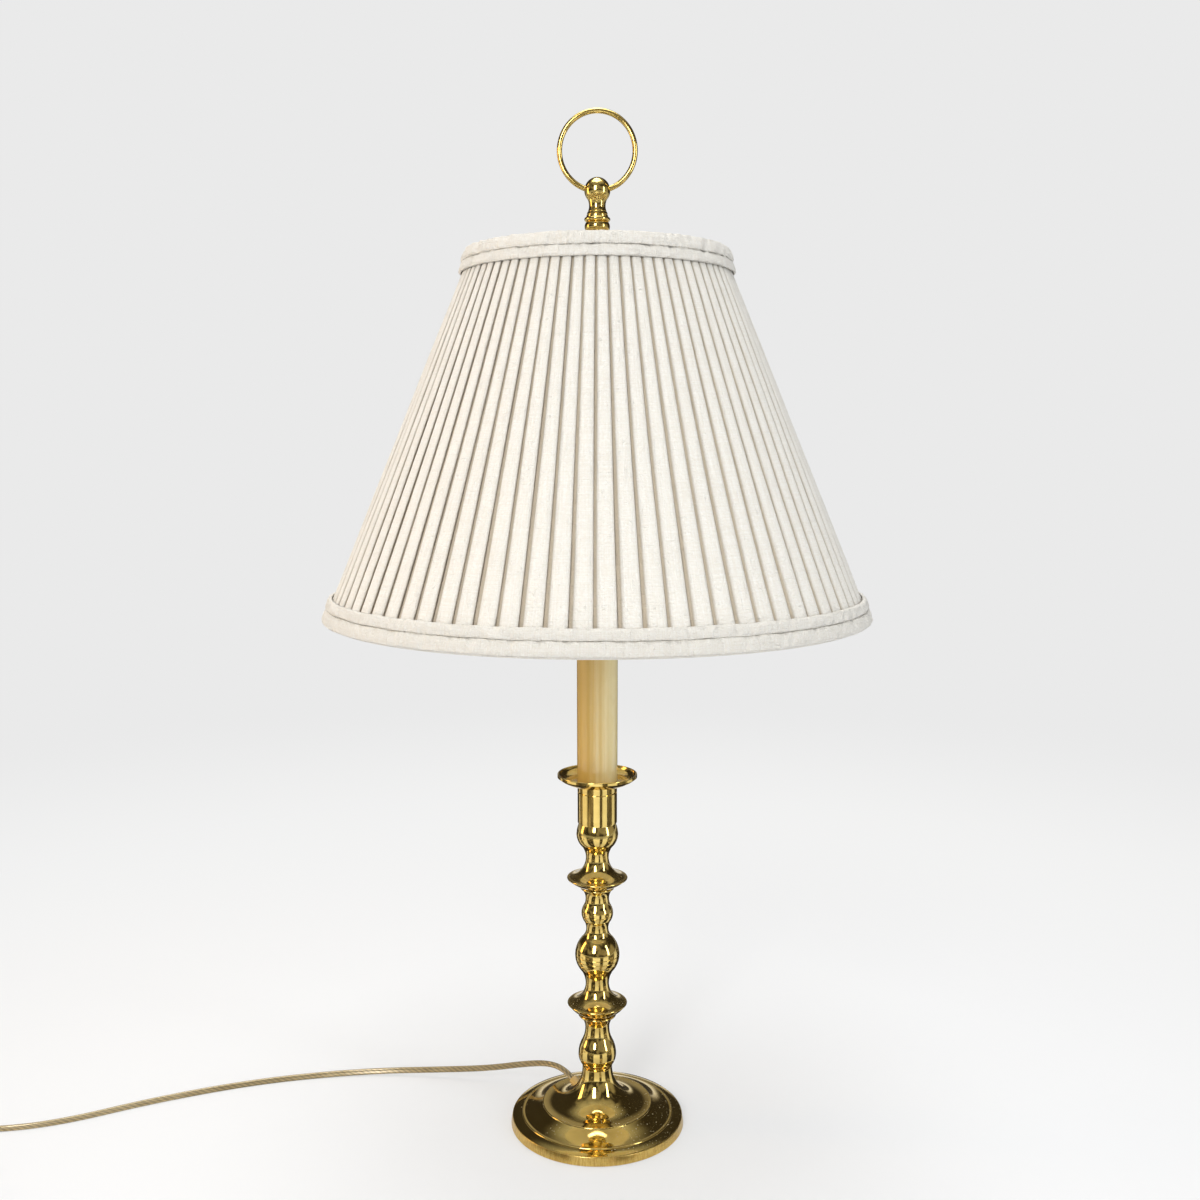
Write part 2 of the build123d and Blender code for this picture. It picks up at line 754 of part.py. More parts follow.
# ---- bulb ----
def make_bulb_cap():
    top = bulb_bottom + bulb_tip_height + bulb_cap_height
    solid = disk(bulb_cap_radius, bulb_bottom + bulb_tip_height, top, bulb_tip_radius)
    return solid


def make_bulb_tip():
    return disk(bulb_tip_radius, bulb_bottom, bulb_bottom + bulb_cap_height / 2)


def bulb_shape(seat, inset):
    """The bulb above its cap: a round head that narrows to a neck, drawn in all round by inset."""
    radius = bulb_radius - inset
    head_z = bulb_bottom + bulb_length - bulb_radius
    neck = at(bulb_neck_radius - inset, seat)
    widest = at(radius, head_z)
    crown = at(0, head_z + radius)
    crown_mid = at(radius * diagonal, head_z + radius * diagonal)
    head = ThreePointArc(widest, crown_mid, crown).edges()
    return turned([*ogee(neck, widest, bulb_neck_share), *head, *line(crown, at(0, seat), neck)])


def make_bulb_glass():
    """The glass envelope, hollow, with a floor over the metal cap."""
    seat = bulb_bottom + bulb_tip_height + bulb_cap_height
    hollow = bulb_shape(seat, bulb_wall) - disk(bulb_radius, seat - bulb_wall, seat + bulb_wall)
    return bulb_shape(seat, 0) - hollow


# ---- shade ----
def band(bottom, top, inset, thickness):
    """A folded strip of cloth round the shade, a little crowned on its outer side."""
    low = at(cone_radius(bottom, inset), bottom)
    high = at(cone_radius(top, inset), top)
    crown = at(cone_radius((bottom + top) / 2, inset - band_crown), (bottom + top) / 2)
    inner_low = at(cone_radius(bottom, inset + thickness), bottom)
    inner_high = at(cone_radius(top, inset + thickness), top)
    return turned([*ThreePointArc(low, crown, high).edges(), *line(high, inner_high, inner_low, low)])


def make_top_trim():
    seam = shade_top - top_band_upper
    upper = band(seam, shade_top, 0, trim_thickness)
    lower = band(seam - top_band_lower, seam, band_lap, trim_thickness - band_lap)
    return Compound([upper, lower])


def make_bottom_trim():
    seam = shade_bottom + bottom_band_lower
    lower = band(shade_bottom, seam, 0, trim_thickness)
    upper = band(seam, seam + bottom_band_upper, band_lap, trim_thickness - band_lap)
    return Compound([lower, upper])


def pleat_outline(z, fold_radius, scale):
    """The star that the knife pleats make at a height: each rises to its fold, then steps back in."""
    fold = fold_radius * scale
    valley = (fold_radius - pleat_depth * across_slope) * scale
    points = []
    for index in range(pleat_count):
        start = 2 * math.pi * index / pleat_count
        crest = start + 2 * math.pi * (1 - pleat_lap_share) / pleat_count
        points.append((valley * math.cos(start), valley * math.sin(start)))
        points.append((fold * math.cos(crest), fold * math.sin(crest)))
    return Pos(0, 0, z) * make_face(Polyline(*points, close=True))


def inner_outline(z, radius):
    """The cloth's inside at a height, flat behind each pleat and just clear of a circle."""
    return Pos(0, 0, z) * RegularPolygon(radius, pleat_count, major_radius=False)


def make_cover():
    """The pleated cloth. Its folds are deepest at the bottom edge and close up towards the top."""
    bottom = shade_bottom + cloth_edge
    top = shade_top - cloth_edge
    fold_radius = cone_radius(bottom, cover_inset + glue_line)
    scale = cone_radius(top, cover_inset + glue_line) / fold_radius
    low = pleat_outline(bottom, fold_radius, 1)
    high = pleat_outline(top, fold_radius, scale)
    inside = cover_inset + pleat_depth + pleat_cloth
    hollow = loft([inner_outline(z, cone_radius(z, inside)) for z in (bottom, top)], ruled=True)
    return loft([low, high], ruled=True) - hollow


def make_lining():
    return cone_layer(shade_bottom + cloth_edge, shade_top - cloth_edge, lining_inset, lining_thickness)


top_ring_z = shade_top - cloth_edge - shade_ring_radius
bottom_ring_z = shade_bottom + cloth_edge + shade_ring_radius
top_ring_radius = cone_radius(top_ring_z, ring_inset + shade_ring_radius)
bottom_ring_radius = cone_radius(bottom_ring_z, ring_inset + shade_ring_radius)


def make_top_ring():
    return Pos(0, 0, top_ring_z) * Torus(top_ring_radius, shade_ring_radius)


def make_bottom_ring():
    return Pos(0, 0, bottom_ring_z) * Torus(bottom_ring_radius, shade_ring_radius)


def make_spider_washer():
    return disk(spider_washer_radius, spider_bottom, spider_top, hung_bore_radius)


def make_spider_arms():
    """The wires from the washer, flat over the harp's crown and then up to the shade's top ring."""
    level = spider_bottom + spider_wire_radius
    end = top_ring_radius - shade_ring_radius
    points = [
        at(spider_washer_radius, level),
        at(spider_arm_flat, level),
        at(end - spider_arm_end, top_ring_z),
        at(end, top_ring_z),
    ]
    path = FilletPolyline(*points, radius=smooth_radii(points))
    arm = sweep(Plane(points[0], z_dir=(1, 0, 0)) * Circle(spider_wire_radius), path=path)
    step = 360 / spider_arms_count
    return Compound([Rot(0, 0, index * step) * arm for index in range(spider_arms_count)])


# ---- finial ----
def make_finial():
    """Foot, stem, bowl, bead, ringed shoulder, neck and ball, bored below for the harp's pin."""
    base = finial_bottom
    foot = at(finial_foot_radius, base)
    foot_top = at(finial_foot_radius, base + finial_foot_height)
    stem_low = at(finial_stem_radius, foot_top.Z + finial_foot_radius - finial_stem_radius)
    stem = at(finial_stem_radius, base + finial_stem_z)
    waist = at(finial_waist_radius, base + finial_waist_z)
    bead_low = at(finial_bead_radius - finial_bead_edge, base + finial_bead_z - finial_bead_edge)
    bead_out = at(finial_bead_radius, base + finial_bead_z)
    bead_high = at(finial_bead_radius - finial_bead_edge, base + finial_bead_z + finial_bead_edge)
    bowl_mid = (waist + bead_low) * 0.5 + Vector(finial_bead_edge, 0, -finial_bead_edge)
    neck = at(finial_neck_radius, base + finial_neck_z)
    ball_centre = at(0, base + finial_ball_z)
    join_radius = finial_neck_radius + finial_bead_edge / 2
    join = at(join_radius, ball_centre.Z - math.sqrt(finial_ball_radius**2 - join_radius**2))
    equator = at(finial_ball_radius, ball_centre.Z)
    pole = at(0, ball_centre.Z + finial_ball_radius)
    outline = [
        *line(foot, foot_top, stem_low, stem),
        *ogee(stem, waist),
        *ThreePointArc(waist, bowl_mid, bead_low).edges(),
        *ThreePointArc(bead_low, bead_out, bead_high).edges(),
        *ogee(bead_high, neck),
        *TangentArc(neck, join, tangent=(0, 0, 1)).edges(),
        *ThreePointArc(join, equator, pole).edges(),
        *line(pole, at(0, base), foot),
    ]
    solid = grooved(turned(outline), finial_grooves, base, finial_bead_radius + 1)
    solid -= disk(hung_bore_radius, base, base + finial_thread_depth)
    return solid - finial_torus(finial_wire_radius + running_clearance)


def finial_torus(wire_radius):
    centre_z = finial_bottom + finial_ball_z + finial_ring_radius
    return Pos(0, 0, centre_z) * Rot(90, 0, 0) * Torus(finial_ring_radius, wire_radius)


def make_finial_ring():
    return finial_torus(finial_wire_radius)


# ---- cord ----
coil_low_z = cord_radius + floor_gap
coil_high_z = coil_low_z + coil_layer_rise
coil_start = Vector(coil_start_x, coil_start_y, coil_low_z)
coil_turn = Pos(*coil_start) * Rot(0, 0, coil_heading - 90)
coil_place = coil_turn * Pos(-coil_outer_radius, 2 * cord_radius, -coil_low_z)


def swept(path):
    """A tube of the cord's size along a path."""
    start = Plane(path @ 0, z_dir=path % 0)
    return sweep(start * Circle(cord_radius), path=path)


def report_tube(name, path, solid):
    section = math.pi * cord_radius**2
    share = solid.volume / (section * path.length)
    print(name, "length", round(path.length, 1), "volume share", round(share, 4))


def make_inner_cord():
    """The cord inside the lamp: in through the bush, and up the rod to the socket."""
    corner = exit_surface - exit_direction * (exit_radius / math.cos(tilt))
    path = FilletPolyline(exit_point, corner, Vector(0, 0, body_bottom), radius=inner_bend_radius)
    solid = swept(path)
    report_tube("inner_cord", path, solid)
    return solid


def make_free_cord():
    first = exit_point + exit_direction * exit_run
    points = [exit_point, first, *[Vector(*point) for point in free_route], coil_start]
    radii = smooth_radii(points)
    print("cord_free radii", [round(radius, 1) for radius in radii])
    print("cord_free runs", [round((b - a).length, 1) for a, b in zip(points, points[1:])])
    path = FilletPolyline(*points, radius=radii)
    solid = swept(path)
    report_tube("cord_free", path, solid)
    return solid


def coil_ends():
    """Where each half turn of the coil starts and ends: across the coil, and in height."""
    radius = coil_outer_radius
    ends = [(radius, coil_low_z)]
    for _ in range(coil_half_turns):
        radius -= coil_step
        ends.append((radius, coil_low_z))
    ends.append((radius, coil_high_z))
    for _ in range(coil_half_turns):
        radius += coil_step
        ends.append((radius, coil_high_z))
    return ends


def make_coil_path():
    """Half turns between points on one line across the coil, with a short straight run at each end."""
    ends = coil_ends()
    radius, z = ends[0]
    edges = [Line((radius, -2 * cord_radius, z), (radius, 0, z))]
    side = 1
    for (start_radius, start_z), (end_radius, end_z) in zip(ends, ends[1:]):
        start = Vector(side * start_radius, 0, start_z)
        end = Vector(-side * end_radius, 0, end_z)
        middle = (start + end) * 0.5 + Vector(0, side * (end - start).length / 2, 0)
        edges.append(ThreePointArc(start, middle, end))
        side = -side
    edges.append(Line(end, end - Vector(0, coil_end_run, 0)))
    return Wire([edge for item in edges for edge in item.edges()])


def coil_gap(path):
    """The least gap between two turns of the coil, measured on points along its middle."""
    count = int(path.length / gap_sample_step)
    points = [path @ (index / count) for index in range(count + 1)]
    apart = int(4 * cord_radius / gap_sample_step) + 1
    near = min((a - b).length for i, a in enumerate(points) for b in points[i + apart:])
    return near - 2 * cord_radius


def make_coil():
    path = make_coil_path()
    solid = swept(path)
    report_tube("cord_coil", path, solid)
    print("cord_coil least gap", round(coil_gap(path), 2))
    return coil_place * solid


# ---- plug ----
plug_thickness = 2 * (coil_high_z - floor_gap)
plug_start = coil_place * Pos(-coil_outer_radius, -coil_end_run, coil_high_z) * Rot(90, 0, 0)


def make_plug():
    """The moulded plug, with the tapered neck that the cord comes out of."""
    block_start = Pos(0, 0, plug_neck_length)
    neck = loft([Circle(cord_radius + plug_neck_wall), block_start * Circle(plug_neck_radius)])
    outline = RectangleRounded(plug_width, plug_thickness, plug_round)
    block = block_start * extrude(outline, plug_length)
    block = chamfer(block.edges().group_by(Axis.Z)[0], plug_round)
    solid = neck + block
    for side in (-1, 1):
        solid -= plug_blade(side)
    return plug_start * solid


def plug_blade(side):
    depth = plug_length / 2
    start = plug_neck_length + plug_length - depth
    blade = Box(blade_thickness, blade_width, depth + blade_length)
    blade = Pos(side * blade_spacing / 2, 0, start + (depth + blade_length) / 2) * blade
    hole_z = plug_neck_length + plug_length + blade_length - 2 * blade_hole_radius
    hole = Pos(side * blade_spacing / 2, 0, hole_z) * Rot(0, 90, 0) * Cylinder(blade_hole_radius, blade_width)
    return blade - hole


def make_blades():
    return Compound([plug_start * plug_blade(side) for side in (-1, 1)])


# ---- files ----
makers = {
    "felt_pad": make_felt,
    "base_weight": make_weight,
    "base_foot": make_foot,
    "cord_bush": make_bush,
    "pear_baluster": make_pear,
    "lower_disc": make_lower_disc,
    "vase_baluster": make_vase,
    "stem_knop": make_knop,
    "upper_disc": make_upper_disc,
    "candle_cup": make_cup,
    "drip_pan": make_pan,
    "threaded_rod": make_rod,
    "rod_nut": make_nut,
    "rod_washer": make_washer,
    "candle_cover": make_candle,
    "candle_cap": make_cap,
    "harp_saddle": make_saddle,
    "harp_wire": make_harp_wire,
    "harp_stud": make_stud,
    "harp_ferrule_left": lambda: make_ferrule(-1),
    "harp_ferrule_right": lambda: make_ferrule(1),
    "socket_cap": make_socket_cap,
    "socket_shell": make_shell,
    "socket_sleeve": make_sleeve,
    "socket_body": make_body,
    "terminal_screws": make_terminals,
    "socket_screw_shell": make_screw_shell,
    "socket_contact": make_contact,
    "switch_shaft": make_switch_shaft,
    "switch_knob": make_knob,
    "bulb_cap": make_bulb_cap,
    "bulb_tip": make_bulb_tip,
    "bulb_glass": make_bulb_glass,
    "shade_top_ring": make_top_ring,
    "shade_bottom_ring": make_bottom_ring,
    "shade_lining": make_lining,
    "pleated_cover": make_cover,
    "top_trim": make_top_trim,
    "bottom_trim": make_bottom_trim,
    "spider_washer": make_spider_washer,
    "spider_arms": make_spider_arms,
    "finial_body": make_finial,
    "finial_ring": make_finial_ring,
    "inner_cord": make_inner_cord,
    "cord_free": make_free_cord,
    "cord_coil": make_coil,
    "plug_body": make_plug,
    "plug_blades": make_blades,
}

os.makedirs("parts", exist_ok=True)
for node, make in makers.items():
    export_step(make(), f"parts/{node}.step")
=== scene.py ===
"""A candlestick lamp with a pleated shade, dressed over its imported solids.

Each sub-assembly is a class whose fields are its sizes in metres. Its methods build the meshes and
give them their finishes. The CAD solids keep their shapes, and the soft ones are replaced.
"""

from __future__ import annotations

import logging
import math
from collections.abc import Callable, Sequence
from dataclasses import dataclass
from enum import Enum
from functools import reduce

import bmesh
import bpy
from mathutils import Matrix, Vector, noise


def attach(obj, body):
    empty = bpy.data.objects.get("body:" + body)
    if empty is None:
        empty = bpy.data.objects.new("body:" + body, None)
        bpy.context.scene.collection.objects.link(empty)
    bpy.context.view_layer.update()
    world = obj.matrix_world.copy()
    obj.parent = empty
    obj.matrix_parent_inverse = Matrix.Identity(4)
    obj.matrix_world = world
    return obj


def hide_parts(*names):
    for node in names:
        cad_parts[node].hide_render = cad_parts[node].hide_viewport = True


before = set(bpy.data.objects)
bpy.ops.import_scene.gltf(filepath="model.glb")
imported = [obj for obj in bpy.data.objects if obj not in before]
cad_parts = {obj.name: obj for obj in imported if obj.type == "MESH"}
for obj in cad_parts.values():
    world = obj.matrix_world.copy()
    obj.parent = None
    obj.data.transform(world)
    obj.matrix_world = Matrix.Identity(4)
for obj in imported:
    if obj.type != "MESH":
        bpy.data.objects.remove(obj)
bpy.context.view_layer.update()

log = logging.getLogger("candlestick_lamp")

Colour = tuple[float, float, float]
Point = tuple[float, float, float]
Socket = bpy.types.NodeSocket
Piece = bpy.types.Object
Mesh = bmesh.types.BMesh
Inputs = dict[str | int, object]
Masks = dict[str, Socket]

UV_MAP = "UVMap"
# Attribute of painted shade, dark where one fold of the cloth lies under another.
PAINTED_FOLD_SHADE = "under"
NOISE_ORIGIN = Vector((17.3, 5.1, 9.7))


class Body(Enum):
    """The moving bodies of the lamp that soft pieces ride on."""

    LAMP = "lamp"
    SHADE = "shade"


class Slot(Enum):
    """The record's material slots."""

    BRASS = "polished_brass"
    FELT = "felt"
    IRON = "cast_iron"
    CLEAR = "clear_plastic"
    ZINC = "zinc_steel"
    CANDLE = "candle_plastic"
    PLATED = "plated_harp"
    SOCKET = "socket_brass"
    CARD = "insulating_card"
    INSULATOR = "insulator"
    BULB_METAL = "bulb_metal"
    GLASS = "frosted_glass"
    WIRE = "shade_wire"
    LINING = "shade_lining"
    LINEN = "linen"
    TRIM = "linen_trim"
    CORD = "gold_cord"
    PLUG = "plug_plastic"


# ---- nodes


@dataclass
class Bench:
    """A node tree being wired up, for a material or for a shared group."""

    tree: bpy.types.NodeTree

    def fill(self, node: bpy.types.Node, inputs: Inputs) -> None:
        """Set a node's inputs, or link them.

        Args:
            node: The node.
            inputs: Sockets to link from, numbers or tuples, by input name or number.
        """
        for key, value in inputs.items():
            socket = node.inputs[key]
            if isinstance(value, Socket):
                self.tree.links.new(value, socket)
            elif socket.type == "RGBA":
                socket.default_value = (*value, 1.0)
            else:
                socket.default_value = value

    def add(self, kind: str, inputs: Inputs | None = None, **settings: object) -> bpy.types.NodeOutputs:
        """Add a node.

        Args:
            kind: The node's type name without its ShaderNode prefix.
            inputs: What its inputs get, by name or number.
            **settings: Properties of the node itself.

        Returns:
            The node's outputs.
        """
        node = self.tree.nodes.new("ShaderNode" + kind)
        for name, value in settings.items():
            setattr(node, name, value)
        self.fill(node, inputs or {})
        return node.outputs

    def maths(self, operation: str, *values: object) -> Socket:
        """Return the result of one of Blender's sums, on up to three numbers or sockets."""
        return self.add("Math", dict(enumerate(values)), operation=operation)[0]

    def times(self, first: object, second: object) -> Socket:
        """Return the product of two numbers or sockets."""
        return self.maths("MULTIPLY", first, second)

    def total(self, start: float, *parts: tuple[Socket, float]) -> Socket:
        """Return a number plus some masks, each given with what it adds where it is 1."""
        return reduce(lambda so_far, part: self.maths("MULTIPLY_ADD", *part, so_far), parts, start)

    def spread(self, value: object, low: float, high: float, to_low: float = 0.0, to_high: float = 1.0) -> Socket:
        """Return a value stretched from one range to another, clamped and smoothed."""
        ends = {"Value": value, "From Min": low, "From Max": high, "To Min": to_low, "To Max": to_high}
        return self.add("MapRange", ends, interpolation_type="SMOOTHSTEP")["Result"]

    def blend(self, share: object, first: object, second: object) -> Socket:
        """Return a mix of two colours, with a share of the second."""
        return self.add("Mix", {0: share, 6: first, 7: second}, data_type="RGBA")[2]

    def coats(self, colour: object, *coats: tuple[Socket, float, Colour]) -> Socket:
        """Return a colour under coats, each given by its mask, its strength where that is 1, and its colour."""
        return reduce(lambda under, coat: self.blend(self.times(*coat[:2]), under, coat[2]), coats, colour)

    def noise(self, at: Socket, scale: float | Socket, detail: float = 2.0, roughness: float = 0.5,
              distortion: float = 0.0) -> Socket:
        """Return a noise value, with its spots in a metre and the number and strength of its finer layers."""
        inputs = {"Vector": at, "Scale": scale, "Detail": detail, "Roughness": roughness, "Distortion": distortion}
        return self.add("TexNoise", inputs)[0]

    def streaks(self, at: Socket, scale: Point, *layers: float) -> Socket:
        """Return a noise value whose spots in a metre differ along X, Y and Z."""
        return self.noise(self.stretched(at, scale), 1.0, *layers)

    def place(self) -> Socket:
        """Return the object coordinates, which are the lamp's own metres."""
        return self.add("TexCoord")["Object"]

    def parts(self, vector: Socket) -> bpy.types.NodeOutputs:
        """Return a vector's X, Y and Z."""
        return self.add("SeparateXYZ", {0: vector})

    def stretched(self, vector: Socket, scale: Point) -> Socket:
        """Return a vector with its X, Y and Z scaled."""
        return self.add("Mapping", {"Vector": vector, "Scale": scale})[0]

    def bump(self, height: Socket, distance: float, strength: float = 1.0) -> Socket:
        """Return the normal of a surface raised by a height, which stands a distance in metres at 1."""
        return self.add("Bump", {"Height": height, "Distance": distance, "Strength": strength})[0]

    def group(self, wire: Callable[[Bench, Socket], Masks], amount: float) -> bpy.types.NodeOutputs:
        """Add a node of a shared group, which is made the first time.

        Args:
            wire: Wires the group's inside, from a bench and the group's one input, and returns its outputs.
            amount: What this node's input gets.

        Returns:
            The node's outputs.
        """
        tree = bpy.data.node_groups.get(wire.__name__)
        if not tree:
            tree = bpy.data.node_groups.new(wire.__name__, "ShaderNodeTree")
            tree.interface.new_socket("Amount", in_out="INPUT", socket_type="NodeSocketFloat")
            results = wire(Bench(tree), tree.nodes.new("NodeGroupInput").outputs["Amount"])
            for name in results:
                tree.interface.new_socket(name, in_out="OUTPUT", socket_type="NodeSocketFloat")
            Bench(tree).fill(tree.nodes.new("NodeGroupOutput"), results)
        return self.add("Group", {"Amount": amount}, node_tree=tree)


def lathe_marks(bench: Bench, fineness: Socket) -> Masks:
    """Wire the fine rings left by turning and polishing, round the lamp's axis.

    Args:
        bench: The group's bench.
        fineness: Rings in a metre.

    Returns:
        The fine lines and the broad bands.
    """
    parts = bench.parts(bench.place())
    radius = bench.maths("SQRT", bench.maths("ADD", *(bench.times(parts[axis], parts[axis]) for axis in range(2))))
    ring = bench.add("CombineXYZ", {0: radius, 2: parts[2]})[0]
    fine = bench.noise(ring, fineness, 3.0, 0.65)
    broad = bench.noise(ring, 120.0)
    return {"Lines": bench.spread(fine, 0.35, 0.7), "Bands": bench.spread(broad, 0.3, 0.7)}


def handling(bench: Bench, amount: Socket) -> Masks:
    """Wire the smears left by fingers.

    Args:
        bench: The group's bench.
        amount: How strong the smears are.

    Returns:
        The smears, and the clouds that they lie in.
    """
    at = bench.place()
    cloud = bench.noise(at, 38.0, 4.0, 0.6, 0.8)
    smear = bench.streaks(at, (240.0, 240.0, 90.0), 3.0, 0.55, 0.4)
    smears = bench.times(bench.spread(cloud, 0.5, 0.75), bench.spread(smear, 0.35, 0.75))
    return {"Smears": bench.times(smears, amount), "Clouds": bench.spread(cloud, 0.3, 0.7)}


def settled_dust(bench: Bench, amount: Socket) -> Masks:
    """Wire the dust on faces that look up.

    Args:
        bench: The group's bench.
        amount: How thick the film is.

    Returns:
        The thin film, and the single grains.
    """
    at = bench.place()
    upper = bench.spread(bench.parts(bench.add("TexCoord")["Normal"])[2], 0.55, 1.0)
    film = bench.times(upper, bench.spread(bench.noise(at, 160.0, 5.0, 0.7), 0.25, 0.8, 0.3, 1.0))
    grains = bench.times(upper, bench.spread(bench.noise(at, 760.0, 1.0), 0.69, 0.75))
    crowd = bench.spread(bench.noise(at, 22.0), 0.42, 0.6)
    return {"Film": bench.times(film, amount), "Grains": bench.times(grains, crowd)}


def mottled(bench: Bench, fineness: Socket) -> Masks:
    """Wire the soft flow marks in a moulded plastic, and its pebbled skin."""
    flow = bench.streaks(bench.place(), (34.0, 34.0, 11.9), 3.0, 0.6, 1.4)
    return {"Flow": bench.spread(flow, 0.3, 0.7), "Skin": bench.noise(bench.place(), fineness)}


def linen_threads(bench: Bench, nubbiness: Socket) -> Masks:
    """Wire a plain weave of uneven threads, with slubs along both ways and small nubs.

    It reads the cloth's own UV map, whose unit is a metre of cloth.

    Args:
        bench: The group's bench.
        nubbiness: How strong the nubs are.

    Returns:
        The masks of the weave's parts, and its height.
    """
    cloth = bench.add("TexCoord")["UV"]
    warp = bench.streaks(cloth, (1500.0, 42.0, 1.0))
    weft = bench.streaks(cloth, (42.0, 1500.0, 1.0))
    down = bench.streaks(cloth, (620.0, 26.0, 1.0), 2.0, 0.55)
    over = bench.streaks(cloth, (24.0, 560.0, 1.0), 2.0, 0.55)
    nub = bench.streaks(cloth, (330.0, 210.0, 1.0), 2.0, 0.6)
    wave = {"Vector": bench.stretched(cloth, (340.0, 340.0, 1.0)), "Scale": 1.0, "Distortion": 1.2, "Detail": 1.0}
    weave = bench.maths("MAXIMUM", *(bench.add("TexWave", wave, bands_direction=way)[1] for way in "XY"))
    thread = bench.total(0.0, (warp, 0.5), (weft, 0.5))
    slubs = bench.maths("MAXIMUM", bench.spread(down, 0.58, 0.72), bench.spread(over, 0.6, 0.74))
    nubs = bench.times(bench.spread(nub, 0.66, 0.74), nubbiness)
    grain = bench.spread(bench.streaks(cloth, (760.0, 640.0, 1.0), 3.0, 0.6), 0.35, 0.65)
    height = bench.total(0.0, (weave, 0.35), (thread, 0.6), (slubs, 0.7), (nubs, 1.6), (grain, 0.8))
    return {"Threads": bench.spread(thread, 0.38, 0.62), "Slubs": slubs, "Nubs": nubs, "Grain": grain, "Height": height}


# ---- finishes


@dataclass(frozen=True)
class Finish:
    """A surface that pieces are given."""

    name: str

    def dress(self, bench: Bench) -> Inputs:
        """Wire the finish.

        Args:
            bench: The material's bench.

        Returns:
            What each input of the Principled shader gets.
        """
        raise NotImplementedError

    def material(self) -> bpy.types.Material:
        """Make the finish's one material the first time.

        Returns:
            The material.
        """
        made = bpy.data.materials.get(self.name)
        if not made:
            made = bpy.data.materials.new(self.name)
            made.use_nodes = True
            bench = Bench(made.node_tree)
            bench.fill(made.node_tree.nodes["Principled BSDF"], self.dress(bench))
        return made


@dataclass(frozen=True)
class Metal(Finish):
    """Turned, drawn or plated metal with polishing lines, smears and a little dust."""

    bright: Colour = (0.83, 0.625, 0.2)
    dull: Colour = (0.62, 0.42, 0.1)
    gloss: float = 0.06
    smear_roughness: float = 0.12
    line_roughness: float = 0.05
    line_depth: float = 0.000004
    fineness: float = 2600.0
    dust: float = 0.25
    dust_colour: Colour = (0.62, 0.58, 0.5)
    grain_colour: Colour = (0.85, 0.78, 0.6)
    lacquer: float = 0.3

    def dress(self, bench: Bench) -> Inputs:
        """Wire the metal's colour, roughness and fine relief.

        Args:
            bench: The material's bench.

        Returns:
            The shader's inputs.
        """
        marks = bench.group(lathe_marks, self.fineness)
        hands = bench.group(handling, 1.0)
        dust = bench.group(settled_dust, self.dust)
        film, grains = dust["Film"], dust["Grains"]
        tone = bench.total(0.0, (hands["Clouds"], 0.45), (marks["Bands"], 0.25))
        polished = bench.blend(tone, self.bright, self.dull)
        rough = bench.total(self.gloss, (hands["Smears"], self.smear_roughness), (marks["Lines"], self.line_roughness),
                            (film, 0.3), (grains, 0.5))
        return {
            "Base Color": bench.coats(polished, (film, 0.35, self.dust_colour), (grains, 0.8, self.grain_colour)),
            "Roughness": rough,
            "Metallic": bench.total(1.0, (film, -0.3), (grains, -0.6)),
            "Coat Weight": self.lacquer,
            "Coat Roughness": 0.04,
            "Normal": bench.bump(marks["Lines"], self.line_depth, 0.6),
        }


@dataclass(frozen=True)
class BandedMetal(Metal):
    """Metal whose lowest band is left satin from the lathe, as on the foot's rim."""

    band_top: float = 0.0079
    band_edge: float = 0.0004
    band_roughness: float = 0.26
    band_shade: Colour = (0.5, 0.27, 0.06)

    def dress(self, bench: Bench) -> Inputs:
        """Wire the metal, then rough and streak the band.

        Args:
            bench: The material's bench.

        Returns:
            The shader's inputs.
        """
        inputs = super().dress(bench)
        at = bench.place()
        polished = bench.spread(bench.parts(at)[2], self.band_top - self.band_edge, self.band_top + self.band_edge)
        satin = bench.total(self.band_roughness, (bench.group(lathe_marks, 1500.0)["Lines"], 0.14))
        rough = bench.add("Mix", {0: polished, 2: satin, 3: inputs["Roughness"]}, data_type="FLOAT")[0]
        streaks = bench.spread(bench.streaks(at, (900.0, 900.0, 60.0), 3.0, 0.7), 0.42, 0.62)
        marked = bench.times(streaks, bench.maths("SUBTRACT", 1.0, polished))
        colour = bench.coats(inputs["Base Color"], (marked, 0.6, self.band_shade))
        return inputs | {"Base Color": colour, "Roughness": rough}


@dataclass(frozen=True)
class CastIron(Finish):
    """A rough black casting."""

    def dress(self, bench: Bench) -> Inputs:
        """Wire the casting's grains and rust.

        Args:
            bench: The material's bench.

        Returns:
            The shader's inputs.
        """
        at = bench.place()
        grain = bench.noise(at, 900.0, 4.0, 0.7)
        rust = bench.spread(bench.noise(at, 60.0, 4.0, 0.6), 0.52, 0.72)
        return {
            "Base Color": bench.blend(rust, (0.035, 0.033, 0.032), (0.1, 0.04, 0.018)),
            "Roughness": bench.spread(grain, 0.3, 0.7, 0.55, 0.85),
            "Metallic": 0.6,
            "Normal": bench.bump(grain, 0.0003),
        }


